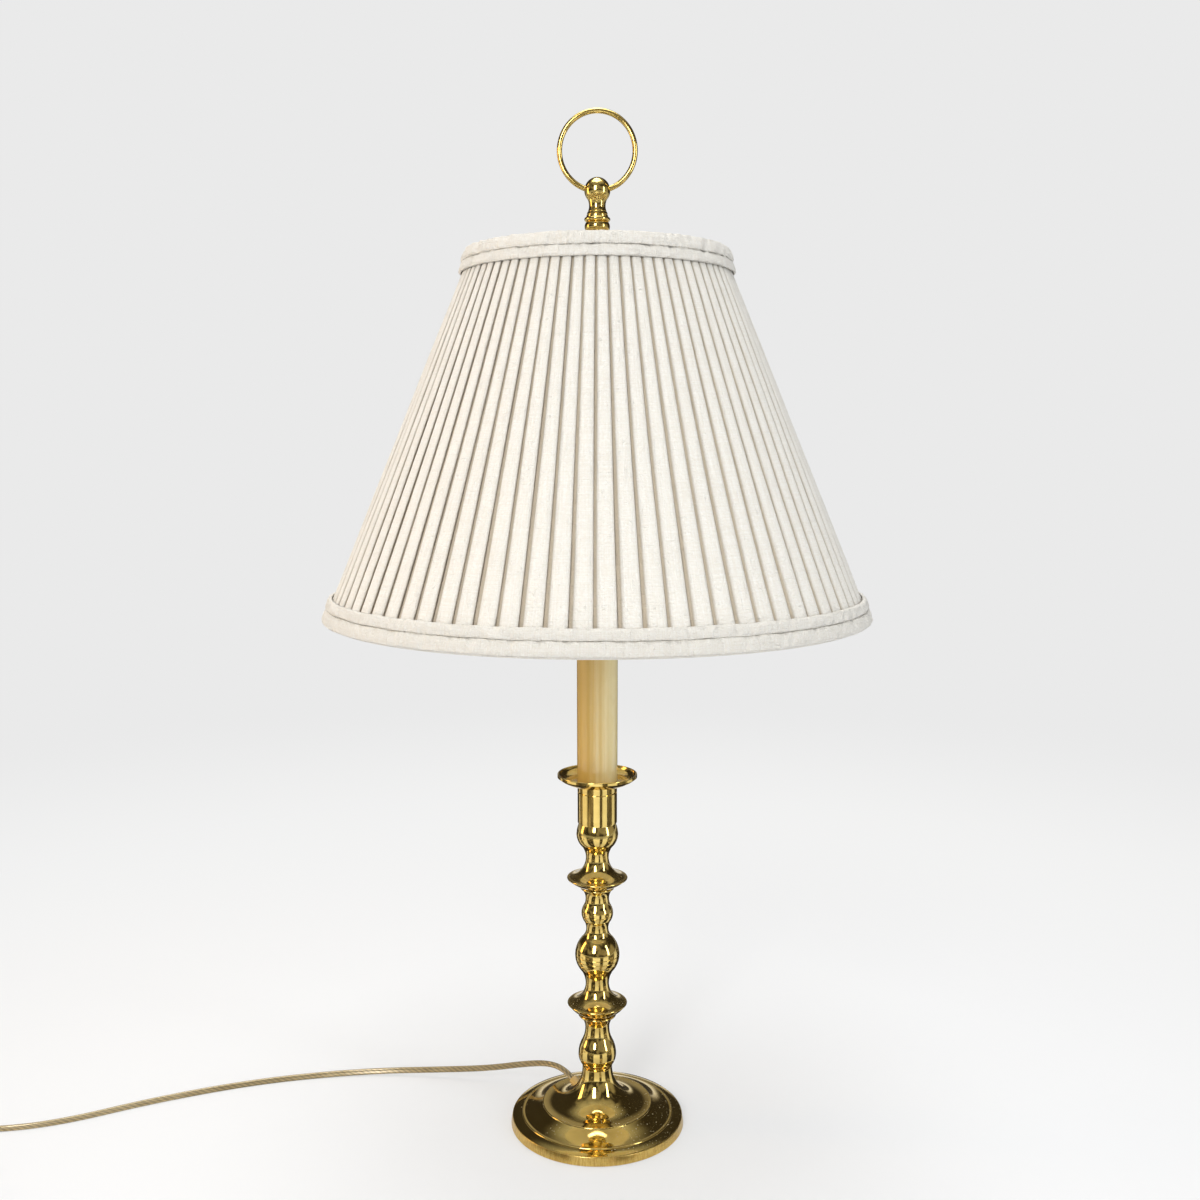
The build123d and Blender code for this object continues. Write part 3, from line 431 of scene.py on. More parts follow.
@dataclass(frozen=True)
class Plastic(Finish):
    """Moulded plastic with faint flow marks."""

    light: Colour = (0.5, 0.4, 0.3)
    deep: Colour = (0.4, 0.3, 0.2)
    gloss: float = 0.22
    skin_depth: float = 0.00001
    fineness: float = 900.0
    lacquer: float = 0.0
    glow: float = 0.0
    glow_reach: Point = (0.004, 0.003, 0.0015)
    dust_colour: Colour = (0.7, 0.66, 0.58)

    def dress(self, bench: Bench) -> Inputs:
        """Wire the flow marks, the skin and the smears.

        Args:
            bench: The material's bench.

        Returns:
            The shader's inputs.
        """
        moulded = bench.group(mottled, self.fineness)
        film = bench.group(settled_dust, 0.35)["Film"]
        colour = bench.blend(moulded["Flow"], self.light, self.deep)
        return {
            "Base Color": bench.coats(colour, (film, 0.4, self.dust_colour)),
            "Roughness": bench.total(self.gloss, (bench.group(handling, 0.8)["Smears"], 0.18), (film, 0.3)),
            "Coat Weight": self.lacquer,
            "Coat Roughness": 0.06,
            "Subsurface Weight": self.glow,
            "Subsurface Radius": self.glow_reach,
            "Normal": bench.bump(moulded["Skin"], self.skin_depth),
        }


@dataclass(frozen=True)
class CandlePlastic(Plastic):
    """The candle cover's plastic, with painted warm shade on its left side, its edge streaked lengthwise."""

    # Colour of the painted warm shade on the left side.
    painted_side_shade: Colour = (0.56, 0.35, 0.08)
    radius: float = 0.0159

    def dress(self, bench: Bench) -> Inputs:
        """Wire the plastic, then paint warm shade on its left side.

        Args:
            bench: The material's bench.

        Returns:
            The shader's inputs.
        """
        inputs = super().dress(bench)
        at = bench.place()
        # The left side is painted warmer and darker, as shade under a warm side light.
        side = bench.maths("DIVIDE", bench.parts(at)[0], self.radius)
        streak = bench.streaks(at, (420.0, 420.0, 5.0), 2.0, 0.6)
        edge = bench.total(-0.45, (side, 1.0), (streak, 0.9))
        mask = bench.spread(edge, 0.85, -0.7, 0.05, 0.95)
        return inputs | {"Base Color": bench.blend(mask, inputs["Base Color"], self.painted_side_shade)}


@dataclass(frozen=True)
class FrostedGlass(Finish):
    """The bulb's white coated glass."""

    def dress(self, bench: Bench) -> Inputs:
        """Wire the coat's thin and thick places.

        Args:
            bench: The material's bench.

        Returns:
            The shader's inputs.
        """
        at = bench.place()
        coat = bench.streaks(at, (70.0, 70.0, 28.0), 3.0)
        return {
            "Base Color": bench.blend(coat, (0.9, 0.9, 0.88), (0.82, 0.82, 0.8)),
            "Roughness": bench.spread(coat, 0.3, 0.7, 0.18, 0.3),
            "Transmission Weight": 0.25,
            "Coat Weight": 0.5,
            "Normal": bench.bump(bench.noise(at, 2200.0), 0.000008),
        }


@dataclass(frozen=True)
class Felt(Finish):
    """Short pressed wool."""

    def dress(self, bench: Bench) -> Inputs:
        """Wire the tangled fibres.

        Args:
            bench: The material's bench.

        Returns:
            The shader's inputs.
        """
        at = bench.place()
        fibre = bench.noise(at, 1400.0, 4.0, 0.75, 3.0)
        tone = bench.total(0.0, (bench.noise(at, 90.0, 3.0, 0.6), 0.4), (bench.spread(fibre, 0.3, 0.7), 0.6))
        return {
            "Base Color": bench.blend(tone, (0.012, 0.03, 0.017), (0.045, 0.085, 0.05)),
            "Roughness": bench.spread(fibre, 0.3, 0.7, 0.85, 1.0),
            "Sheen Weight": 0.4,
            "Normal": bench.bump(fibre, 0.0004),
        }


@dataclass(frozen=True)
class Linen(Finish):
    """Slubby linen, warm white, read along the cloth's own UV map.

    An attribute of the cloth holds painted shade, which darkens it where one fold lies under another.
    """

    pale: Colour = (0.83, 0.815, 0.77)
    shade: Colour = (0.72, 0.66, 0.56)
    # Colour of the painted shade under the folds.
    fold: Colour = (0.47, 0.385, 0.27)
    slub: Colour = (0.93, 0.9, 0.83)
    nub: Colour = (0.95, 0.92, 0.86)
    nubbiness: float = 1.0
    relief: float = 0.0004

    def dress(self, bench: Bench) -> Inputs:
        """Wire threads, slubs and the painted shade in the folds.

        Args:
            bench: The material's bench.

        Returns:
            The shader's inputs.
        """
        cloth = bench.group(linen_threads, self.nubbiness)
        under = bench.add("Attribute", attribute_name=PAINTED_FOLD_SHADE, attribute_type="GEOMETRY")["Fac"]
        # The last coat is painted shade under the folds.
        colour = bench.coats(
            self.pale, (cloth["Threads"], 0.4, self.shade), (cloth["Grain"], 0.3, self.shade),
            (cloth["Slubs"], 0.22, self.slub), (cloth["Nubs"], 0.4, self.nub), (under, 0.85, self.fold))
        return {
            "Base Color": colour,
            "Roughness": bench.spread(cloth["Threads"], 0.0, 1.0, 0.85, 0.97),
            "Sheen Weight": 0.12,
            "Sheen Roughness": 0.5,
            "Specular IOR Level": 0.25,
            "Normal": bench.bump(cloth["Height"], self.relief),
        }


@dataclass(frozen=True)
class ClearCord(Finish):
    """Twin cord in clear gold plastic, with the twisted strands showing through.

    It reads the cord's UV map: U runs round the section and V is metres along.
    """

    strand: Colour = (0.34, 0.235, 0.09)
    between: Colour = (0.06, 0.04, 0.015)
    jacket: Colour = (0.4, 0.32, 0.17)
    # Colour of the painted highlights, in cloudy patches.
    painted_glint: Colour = (0.8, 0.68, 0.42)
    strands_round: int = 4
    strand_turn: float = 1200.0

    def dress(self, bench: Bench) -> Inputs:
        """Wire the strands, the web between the two wires, the clear skin and its painted highlights.

        Args:
            bench: The material's bench.

        Returns:
            The shader's inputs.
        """
        around, along, _ = bench.parts(bench.add("TexCoord")["UV"])
        twist = bench.total(0.0, (around, math.tau * self.strands_round), (along, self.strand_turn))
        stripe = bench.total(0.5, (bench.maths("SINE", twist), 0.5))
        drawn = bench.add("CombineXYZ", {0: around, 1: bench.times(along, 60.0)})[0]
        cloudy = bench.noise(drawn, 1.0, 3.0)
        web = bench.maths("ABSOLUTE", bench.maths("SINE", bench.times(around, math.tau)))
        wires = bench.blend(stripe, self.between, self.strand)
        clothed = bench.blend(bench.spread(web, 0.75, 1.0, 0.25, 0.85), wires, self.jacket)
        # The cloudy pale coat is painted highlight.
        return {
            "Base Color": bench.coats(clothed, (cloudy, 0.35, self.painted_glint)),
            "Roughness": bench.spread(cloudy, 0.3, 0.7, 0.12, 0.24),
            "Metallic": 0.25,
            "Coat Weight": 0.8,
            "Coat Roughness": 0.08,
            "Normal": bench.bump(stripe, 0.00004, 0.5),
        }


# ---- making pieces


def show(name: str, bm: Mesh, surface: bpy.types.Material) -> Piece:
    """Turn a finished bmesh into an object of the scene.

    Args:
        name: The object's name.
        bm: Its mesh, in the lamp's own metres; it is freed here.
        surface: Its material.

    Returns:
        The new object.
    """
    mesh = bpy.data.meshes.new(name)
    bm.to_mesh(mesh)
    bm.free()
    mesh.materials.append(surface)
    made = bpy.data.objects.new(name, mesh)
    bpy.context.scene.collection.objects.link(made)
    return made


def settle(name: str, bm: Mesh, finish: Finish, body: Body, slot: Slot) -> Piece:
    """Turn a finished bmesh into a piece of the lamp.

    Args:
        name: The piece's name.
        bm: Its mesh, in the lamp's own metres; it is freed here.
        finish: Its surface.
        body: The body that it rides on.
        slot: Not used.

    Returns:
        The new object.
    """
    made = show(name, bm, finish.material())
    made.data.shade_smooth()
    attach(made, body.value)
    log.info("%s: %d faces", name, len(made.data.polygons))
    return made


def cloth_sheet(across: int, along: int, place: Callable[[float, float], Vector], size: tuple[float, float],
                seam: float) -> Mesh:
    """Lay a flat grid of cloth over a shape, with its UV map in metres of cloth.

    Args:
        across: Divisions round the shape.
        along: Divisions up it.
        place: Gives the place of a point, from its two shares of the grid.
        size: Width and length of the cloth.
        seam: Distance within which its meeting edges are joined.

    Returns:
        The new bmesh.
    """
    bm = bmesh.new()
    bmesh.ops.create_grid(bm, x_segments=across, y_segments=along, size=0.5)
    cloth_map = bm.loops.layers.uv.new(UV_MAP)
    for face in bm.faces:
        for loop in face.loops:
            loop[cloth_map].uv = ((loop.vert.co.x + 0.5) * size[0], (loop.vert.co.y + 0.5) * size[1])
    for vert in bm.verts:
        vert.co = place(vert.co.x + 0.5, vert.co.y + 0.5)
    bmesh.ops.remove_doubles(bm, verts=bm.verts[:], dist=seam)
    bmesh.ops.recalc_face_normals(bm, faces=bm.faces[:])
    return bm


def steady(*place: float) -> float:
    """Return a steady value from -1 to 1 that varies smoothly with up to three numbers."""
    return noise.noise(Vector((*place, 0.0, 0.0, 0.0)[:3]) + NOISE_ORIGIN)


def sweep(section: Sequence[Vector], path: Sequence[Vector], rolls: Sequence[float]) -> Mesh:
    """Carry a closed section along a path that lies near the level.

    Args:
        section: The section's points, in its own plane.
        path: The points that it follows.
        rolls: The section's turn about the path at each point, in radians.

    Returns:
        The new bmesh, with U round the section and V metres along the path.
    """
    count = len(section)
    bm = bmesh.new()
    around = bm.verts.layers.float.new("around")
    along = bm.verts.layers.float.new("along")
    ring = [bm.verts.new((point.x, point.y, 0.0)) for point in section]
    for index, vert in enumerate(ring):
        vert[around] = index / count
    edges = [bm.edges.new((ring[index], ring[(index + 1) % count])) for index in range(count)]
    first_edges = list(edges)
    before = Matrix.Identity(4)
    travelled = 0.0
    for index, point in enumerate(path):
        ahead = path[min(index + 1, len(path) - 1)] - path[max(index - 1, 0)]
        side = ahead.cross(Vector((0.0, 0.0, 1.0))).normalized()
        rise = side.cross(ahead).normalized()
        axes = Matrix((side, rise, -ahead.normalized())).transposed().to_4x4()
        here = axes @ Matrix.Rotation(rolls[index], 4, "Z")
        here.translation = point
        if index:
            travelled += (point - path[index - 1]).length
            grown = bmesh.ops.extrude_edge_only(bm, edges=edges)["geom"]
            ring = [item for item in grown if isinstance(item, bmesh.types.BMVert)]
            edges = [item for item in grown if isinstance(item, bmesh.types.BMEdge)]
        bmesh.ops.transform(bm, matrix=here @ before.inverted(), verts=ring)
        for vert in ring:
            vert[along] = travelled
        before = here
    for end in (first_edges, edges):
        bmesh.ops.edgeloop_fill(bm, edges=end)
    skin = bm.loops.layers.uv.new(UV_MAP)
    for face in bm.faces:
        turned = [loop.vert[around] for loop in face.loops]
        for loop, share in zip(face.loops, turned):
            wrapped = share + 1.0 if max(turned) - share > 0.5 else share
            loop[skin].uv = (wrapped, loop.vert[along])
    bmesh.ops.recalc_face_normals(bm, faces=bm.faces[:])
    return bm


# ---- camera, light and floor


@dataclass(frozen=True)
class PaleFloor(Finish):
    """The floor, lit near the lamp and fading into the backdrop further off."""

    colour: Colour = (0.893, 0.905, 0.925)
    patch: float = 0.985
    fineness: float = 90.0

    def dress(self, bench: Bench) -> Inputs:
        """Wire the floor's faint patches.

        Args:
            bench: The material's bench.

        Returns:
            The shader's inputs.
        """
        grain = bench.noise(bench.place(), self.fineness, 3.0)
        return {
            "Base Color": bench.blend(grain, self.colour, tuple(self.patch * part for part in self.colour)),
            "Roughness": bench.spread(grain, 0.0, 1.0, 0.75, 0.9),
            "Specular IOR Level": 0.2,
        }


@dataclass(frozen=True)
class DarkCard(Finish):
    """Dark card with pale patches on it, seen only as a reflection in the brass."""

    dark: Colour = (0.02, 0.016, 0.012)
    pale_patch: Colour = (0.5, 0.44, 0.34)

    def dress(self, bench: Bench) -> Inputs:
        """Return the shader's inputs, with the pale patches wired."""
        # The pale patches show only as paler spots in the brass's reflections.
        patches = bench.spread(bench.noise(bench.place(), 5.0, 5.0, 0.7, 1.0), 0.5, 0.63)
        return {"Base Color": bench.blend(patches, self.dark, self.pale_patch), "Roughness": 0.9}


@dataclass(frozen=True)
class Softbox:
    """A soft rectangular light: its place, aim, size, power in watts and colour."""

    name: str
    place: Point
    aim: Point
    size: tuple[float, float]
    power: float
    tint: Colour

    def hang(self) -> None:
        """Make the light and hang it facing its aim."""
        data = bpy.data.lights.new(self.name, "AREA")
        data.shape = "RECTANGLE"
        data.size, data.size_y = self.size
        data.energy = self.power
        data.color = self.tint
        made = bpy.data.objects.new(self.name, data)
        made.location = self.place
        made.rotation_euler = (Vector(self.aim) - Vector(self.place)).to_track_quat("-Z", "Y").to_euler()
        bpy.context.scene.collection.objects.link(made)


@dataclass
class Studio:
    """The photograph's camera, soft lights and a pale sweep of floor."""

    camera_distance: float = 0.965
    camera_height: float = 0.54716
    camera_tilt: float = 79.626
    sensor: float = 36.0
    lens: float = 37.92
    shift: tuple[float, float] = (0.00225, 0.0668)
    softboxes: tuple[Softbox, ...] = (
        Softbox("key", (-0.6, -1.8, 1.25), (0.0, 0.0, 0.4), (0.5, 1.2), 22.0, (1.0, 0.985, 0.96)),
        Softbox("fill", (1.6, -0.9, 0.8), (0.0, 0.0, 0.35), (0.3, 1.3), 8.0, (0.9, 0.95, 1.0)),
        Softbox("warm", (-1.7, 0.1, 0.7), (0.0, 0.0, 0.45), (0.4, 1.1), 6.5, (1.0, 0.66, 0.3)),
        Softbox("top", (-0.1, 0.1, 2.4), (0.0, 0.0, 0.3), (1.3, 1.3), 23.0, (1.0, 1.0, 1.0)),
    )
    floor_half: float = 9.0
    fade_from: float = 0.22
    fade_to: float = 1.0
    least_fade: float = 0.5
    horizon_from: float = 0.6
    horizon_to: float = 1.8
    floor_glow: Colour = (0.905, 0.905, 0.9)
    background: Colour = (0.823, 0.823, 0.823)
    room: Colour = (0.48, 0.48, 0.48)
    dark_room: Colour = (0.035, 0.03, 0.025)
    pale_room: Colour = (0.34, 0.32, 0.29)
    ceiling: Colour = (0.55, 0.55, 0.54)
    card_sweeps: tuple[tuple[float, float], ...] = (
        (-62.0, -22.0), (14.0, 30.0), (58.0, 95.0), (-120.0, -95.0), (118.0, 168.0), (192.0, 232.0))
    card_reach: tuple[float, float] = (0.085, 2.4)
    card_height: float = 0.0004
    card_steps: int = 12

    def camera(self) -> None:
        """Set the camera where the photograph was taken from."""
        data = bpy.data.cameras.new("photo_camera")
        data.sensor_width = self.sensor
        data.lens = self.lens
        data.shift_x, data.shift_y = self.shift
        made = bpy.data.objects.new("photo_camera", data)
        made.location = (0.0, -self.camera_distance, self.camera_height)
        made.rotation_euler = (math.radians(self.camera_tilt), 0.0, 0.0)
        bpy.context.scene.collection.objects.link(made)
        bpy.context.scene.camera = made

    def room_light(self) -> None:
        """Light the world evenly, with a room for the brass to mirror and a plain backdrop for the camera."""
        world = bpy.data.worlds.new("room")
        bpy.context.scene.world = world
        world.use_nodes = True
        world.node_tree.nodes.clear()
        bench = Bench(world.node_tree)
        way = bench.add("TexCoord")["Generated"]
        across, ahead, up = bench.parts(way)
        rays = bench.add("LightPath")
        patches = bench.streaks(way, (1.7, 1.7, 2.72), 2.0, 0.6, 0.5)
        walls = bench.blend(bench.spread(patches, 0.38, 0.62), self.dark_room, self.pale_room)
        far_wall = bench.times(bench.spread(ahead, 0.1, 0.45), bench.spread(up, 0.08, 0.2))
        gap = bench.spread(bench.maths("ABSOLUTE", across), 0.05, 0.2)
        walls = bench.blend(bench.times(far_wall, gap), walls, self.dark_room)
        walls = bench.blend(bench.spread(up, 0.7, 0.97), walls, self.ceiling)
        behind = bench.times(bench.spread(ahead, 0.9, 0.98), bench.spread(up, 0.16, 0.04))
        walls = bench.blend(behind, walls, self.background)
        level = bench.blend(rays["Is Glossy Ray"], self.room, walls)
        colour = bench.blend(rays["Is Camera Ray"], level, self.background)
        shine = bench.add("Background", {"Color": colour, "Strength": 1.0})
        bench.fill(world.node_tree.nodes.new("ShaderNodeOutputWorld"), {0: shine[0]})

    def floor(self) -> None:
        """Lay the floor, which glows more to the camera further off, up to the backdrop's level."""
        surface = PaleFloor("pale_floor").material()
        nodes = surface.node_tree.nodes
        bench = Bench(surface.node_tree)
        away = bench.add("VectorMath", {0: bench.place()}, operation="LENGTH")["Value"]
        seen = bench.add("LightPath")["Is Camera Ray"]
        fade = bench.times(bench.spread(away, self.fade_from, self.fade_to, self.least_fade), seen)
        distant = bench.blend(bench.spread(away, self.horizon_from, self.horizon_to), self.floor_glow, self.background)
        glow = bench.add("Emission", {"Color": distant, "Strength": 1.0})
        mix = bench.add("MixShader", {0: fade, 1: nodes["Principled BSDF"].outputs[0], 2: glow[0]})
        bench.fill(nodes["Material Output"], {0: mix[0]})
        bm = bmesh.new()
        bmesh.ops.create_grid(bm, x_segments=8, y_segments=8, size=self.floor_half)
        show("floor", bm, surface)

    def dark_cards(self) -> None:
        """Lay dark cards on the floor round the lamp, seen only in the brass, where they draw dark streaks."""
        surface = DarkCard("dark_card").material()
        for number, (start, end) in enumerate(self.card_sweeps):
            bm = bmesh.new()
            tips = [bm.verts.new((0.0, -radius, self.card_height)) for radius in self.card_reach]
            edge = bm.edges.new(tips)
            bmesh.ops.rotate(bm, verts=tips, matrix=Matrix.Rotation(math.radians(start), 3, "Z"))
            bmesh.ops.spin(bm, geom=[*tips, edge], axis=(0.0, 0.0, 1.0), angle=math.radians(end - start),
                           steps=self.card_steps)
            made = show(f"dark_card_{number}", bm, surface)
            made.visible_camera = made.visible_diffuse = made.visible_shadow = False

    def build(self) -> None:
        """Set up everything that isn't the lamp."""
        bpy.context.scene.view_settings.view_transform = "Standard"
        self.camera()
        for softbox in self.softboxes:
            softbox.hang()
        self.room_light()
        self.floor()
        self.dark_cards()


# ---- the cord


@dataclass
class Cord:
    """The flat twin cord: along the floor as photographed, then put away in a coil."""

    exit_point: Point = (-0.02007, 0.02392, 0.0237)
    start: Point = (-0.02768, 0.03299, 0.02801)
    route: tuple[Point, ...] = (
        (-0.0415, 0.0454, 0.0274), (-0.0630, 0.0554, 0.0216), (-0.0950, 0.0630, 0.0134),
        (-0.1400, 0.0718, 0.0076), (-0.1920, 0.0769, 0.0039), (-0.2420, 0.0722, 0.00265),
        (-0.2920, 0.0604, 0.00265), (-0.3410, 0.0428, 0.00265), (-0.3890, 0.0204, 0.00265),
        (-0.4300, -0.0026, 0.00265), (-0.4660, -0.0159, 0.00265), (-0.5030, -0.0206, 0.00265),
    )
    coil_start: Point = (-0.538, -0.0206, 0.00265)
    coil_lead_in: float = 0.0052
    coil_outer: float = 0.0416
    coil_step: float = 0.0034
    layer_turns: int = 6
    layer_rise: float = 0.00595
    lead_out: float = 0.026
    points_per_half_turn: int = 10
    curve_steps: int = 6
    length: float = 1.83
    width: float = 0.0052
    section_points: int = 10
    web_angle: float = 45.0
    free_length: float = 0.06
    flat_from: float = 0.36
    flat_to: float = 0.47
    first_roll: float = 0.82
    wobble: float = 0.4
    wobbles: float = 14.0

    def half_turns(self) -> list[tuple[float, float, float, float]]:
        """Work out the coil's half turns.

        Returns:
            One tuple of start, end, start height and end height for each half turn.
        """
        ends = [self.coil_outer - self.coil_step * turn for turn in range(self.layer_turns + 1)]
        reach = ends + ends[::-1]
        low = self.coil_start[2]
        heights = [low] * len(ends) + [low + self.layer_rise] * len(ends)
        signed = [size if turn % 2 == 0 else -size for turn, size in enumerate(reach)]
        return list(zip(signed, signed[1:], heights, heights[1:]))

    def control_points(self) -> list[Vector]:
        """Work out the route's control points, coil and all.

        Returns:
            The points, from the lamp to the plug.
        """
        centre = Vector((self.coil_start[0] - self.coil_lead_in, self.coil_start[1] - self.coil_outer, 0.0))
        points = [self.exit_point, self.start, *self.route, self.coil_start]
        count = self.points_per_half_turn
        for turn, (begin, end, low, high) in enumerate(self.half_turns()):
            middle, reach = (begin + end) / 2, (begin - end) / 2
            for step in range(count):
                angle = math.pi * (step + 0.5) / count
                across = middle + reach * math.cos(angle)
                ahead = abs(reach) * math.sin(angle) * (1 if turn % 2 == 0 else -1)
                height = low + (high - low) * (0.5 - 0.5 * math.cos(angle))
                points.append((centre.x - ahead, centre.y + across, height))
        last_y = centre.y - self.coil_outer
        top = self.coil_start[2] + self.layer_rise
        points += [(centre.x + share * self.lead_out, last_y, top) for share in (0.5, 1.0)]
        return [Vector(point) for point in points]

    def centreline(self) -> list[Vector]:
        """Draw the route's smooth curve.

        Returns:
            Points along it.
        """
        data = bpy.data.curves.new("cord_route", "CURVE")
        data.dimensions = "3D"
        data.resolution_u = self.curve_steps
        points = self.control_points()
        spline = data.splines.new("NURBS")
        spline.points.add(len(points) - 1)
        for node, point in zip(spline.points, points):
            node.co = (*point, 1.0)
        spline.order_u = 3
        spline.use_endpoint_u = True
        made = bpy.data.objects.new("cord_route", data)
        line = bpy.data.meshes.new_from_object(made)
        places = [vert.co.copy() for vert in line.vertices]
        bpy.data.objects.remove(made)
        bpy.data.meshes.remove(line)
        return places

    def roll(self, travelled: float) -> float:
        """Work out how far the flat cord has turned on its side.

        Args:
            travelled: Metres from the lamp.

        Returns:
            The angle from lying flat, in radians.
        """
        near = min(1.0, travelled / self.free_length)
        laid = min(max((travelled - self.flat_from) / (self.flat_to - self.flat_from), 0.0), 1.0)
        wobble = self.wobble * steady(travelled * self.wobbles) * near * (1.0 - laid)
        return math.pi / 2 * (self.first_roll + (1.0 - self.first_roll) * laid) * near + wobble

    def section(self) -> list[Vector]:
        """Draw the outline of the two wires side by side.

        Returns:
            Its points, in order round it.
        """
        wire = self.width / 4
        reach = 180.0 - self.web_angle
        outline = []
        for side, half_turn in ((1, 0.0), (-1, math.pi)):
            for step in range(self.section_points):
                angle = math.radians(-reach + 2 * reach * step / (self.section_points - 1)) + half_turn
                outline.append(Vector((side * wire + wire * math.cos(angle), wire * math.sin(angle))))
        return outline

    def build(self) -> None:
        path = self.centreline()
        travelled, rolls = 0.0, []
        for index, point in enumerate(path):
            travelled += (point - path[index - 1]).length if index else 0.0
            rolls.append(self.roll(travelled))
        bm = sweep(self.section(), path, rolls)
        made = settle("twin_cord", bm, ClearCord("clear_gold_cord"), Body.LAMP, Slot.CORD)
        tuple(self.exit_point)
        [tuple(point) for point in path]
        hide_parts("cord_free", "cord_coil")


# ---- the shade


@dataclass
class Band:
    """One folded strip of a trim: its place down the shade's slope, its width and how it lies."""

    name: str
    top: float
    width: float
    lift: float
    crown: float
    puckers: float
    rows: int = 22
    thickness: float = 0.0016
    face_share: float = 0.68
    wave: float = 0.00045
    seam: float = 0.00002


@dataclass
class Shade:
    """The pleated linen cone with its folded trims."""

    bottom_radius: float = 0.2055
    top_radius: float = 0.0931
    bottom: float = 0.42165
    top: float = 0.68815
    pleats: int = 80
    pleat_depth: float = 0.0039
    depth_taper: float = 0.32
    depth_spread: float = 0.18
    wander: tuple[float, float] = (0.045, 0.03)
    slack: float = 0.00035
    cover_inset: float = -0.0001
    trim_stand: float = 0.0014
    lap_low: float = 0.36
    lap_high: float = 0.5
    rows: int = 34
    seam: float = 0.00001
    under_trim: float = 0.001
    top_bands: tuple[Band, ...] = (
        Band("top_trim_upper", 0.0, 0.0098, 0.0013, 0.0006, 0.001),
        Band("top_trim_lower", 0.0090, 0.0086, -0.0001, 0.0005, 0.0009),
    )
    bottom_bands: tuple[Band, ...] = (
        Band("bottom_trim_upper", -0.0186, 0.0086, 0.001, 0.0007, 0.0011),
        Band("bottom_trim_lower", -0.0106, 0.0108, 0.0001, 0.0009, 0.0011),
    )
    top_columns: int = 520
    bottom_columns: int = 900
    binding_thickness: float = 0.00095
    binding_inner: float = 0.0053
    binding_rows: int = 16
    binding_lap: tuple[float, float] = (0.0016, 0.0006)
    trim_linen: Linen = Linen("trim_linen", nubbiness=0.8, relief=0.0005)

    @property
    def lean(self) -> float:
        """Return the cone's angle from upright, in radians."""
        return math.atan((self.bottom_radius - self.top_radius) / (self.top - self.bottom))

    @property
    def slant(self) -> float:
        """Return the length of the cone's side from top edge to bottom edge."""
        return math.hypot(self.bottom_radius - self.top_radius, self.top - self.bottom)

    @property
    def cloth_width(self) -> float:
        """Return the width of the cover's UV map, which is the cloth at the bottom edge."""
        return math.tau * self.bottom_radius * (1.0 + 2.0 * self.lap_low)

    def girth(self, down: float) -> float:
        """Return how far it is round the cone, some way down its slope."""
        return math.tau * (self.top_radius + down * math.sin(self.lean))

    def on_cone(self, angle: float, down: float, inward: float) -> Vector:
        """Find a point from the cone's outer surface.

        Args:
            angle: Radians round the axis.
            down: Metres down the slope from the top edge.
            inward: Metres in from the outer surface, square to it.

        Returns:
            The point.
        """
        radius = self.top_radius + down * math.sin(self.lean) - inward * math.cos(self.lean)
        height = self.top - down * math.cos(self.lean) - inward * math.sin(self.lean)
        return Vector((radius * math.cos(angle), radius * math.sin(angle), height))

    def fold(self, lap: float) -> list[tuple[float, float, float]]:
        """Draw one pleat's folded section, from under the last fold to under this one.

        Args:
            lap: How far the cloth goes back under each fold, in pleats.

        Returns:
            Pleats round, share of the depth out, and the painted shade there, which is how far the cloth lies under a
            fold.
        """
        return [
            (-lap, 0.0, 1.0), (-0.7 * lap, 0.16, 1.0), (-0.2, 0.42, 0.95), (-0.12, 0.46, 1.0),
            (-0.03, 0.52, 0.95), (0.0, 0.7, 0.4), (0.045, 0.84, 0.05),
            (0.12, 0.92, 0.0), (0.28, 0.98, 0.0), (0.45, 1.0, 0.0), (0.6, 0.99, 0.0), (0.71, 0.94, 0.0),
            (0.78, 0.86, 0.1), (0.81, 0.76, 0.35), (0.816, 0.66, 0.6), (0.81, 0.57, 0.8),
            (0.79, 0.5, 1.0), (1.0 - 0.85 * lap, 0.2, 1.0),
        ]

    def pleat_place(self, across: float, up: float) -> tuple[Vector, float]:
        """Find where a point of the flat cloth lies.

        Args:
            across: Share of the way round the cloth.
            up: Share of the way up it.

        Returns:
            The point, and its painted fold shade: how far it lies under a fold, 0 in the open, 1 out of sight.
        """
        section = self.fold(self.lap_low + (self.lap_high - self.lap_low) * up)
        pleat, part = divmod(round(across * self.pleats * len(section)), len(section))
        share, out, fold_shade = section[part]
        whole = pleat % self.pleats
        wander = self.wander[0] * steady(whole * 2.3, up * 2.2) + self.wander[1] * steady(whole * 5.1, 3.0)
        spread = 1.0 + self.depth_spread * steady(whole * 3.7, up * 3.0, 8.0)
        depth = self.pleat_depth * (1.0 - self.depth_taper * up) * spread
        middle = math.sin(math.pi * up) * math.sin(math.pi * min(max(share, 0.0), 1.0))
        slack = self.slack * steady(whole * 1.9, up * 4.0, 2.0) * middle
        angle = math.tau * (pleat + share + wander) / self.pleats
        down = self.under_trim + (self.slant - 2 * self.under_trim) * (1.0 - up)
        inward = self.cover_inset + self.pleat_depth - depth * out - slack
        return self.on_cone(angle, down, inward), fold_shade

    def cover(self) -> None:
        columns = self.pleats * len(self.fold(self.lap_low))
        size = (self.cloth_width, self.slant)
        bm = cloth_sheet(columns, self.rows, lambda across, up: self.pleat_place(across, up)[0], size, self.seam)
        made = settle("linen_pleats", bm, Linen("pleated_linen"), Body.SHADE, Slot.LINEN)
        # Paint shade into the cloth where it lies under a fold, point by point.
        under = made.data.attributes.new(PAINTED_FOLD_SHADE, "FLOAT", "POINT")
        cloth_map = made.data.uv_layers[UV_MAP].uv
        for loop in made.data.loops:
            across = cloth_map[loop.index].vector.x / self.cloth_width
            under.data[loop.vertex_index].value = self.pleat_place(across, 0.5)[1]
        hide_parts("pleated_cover")

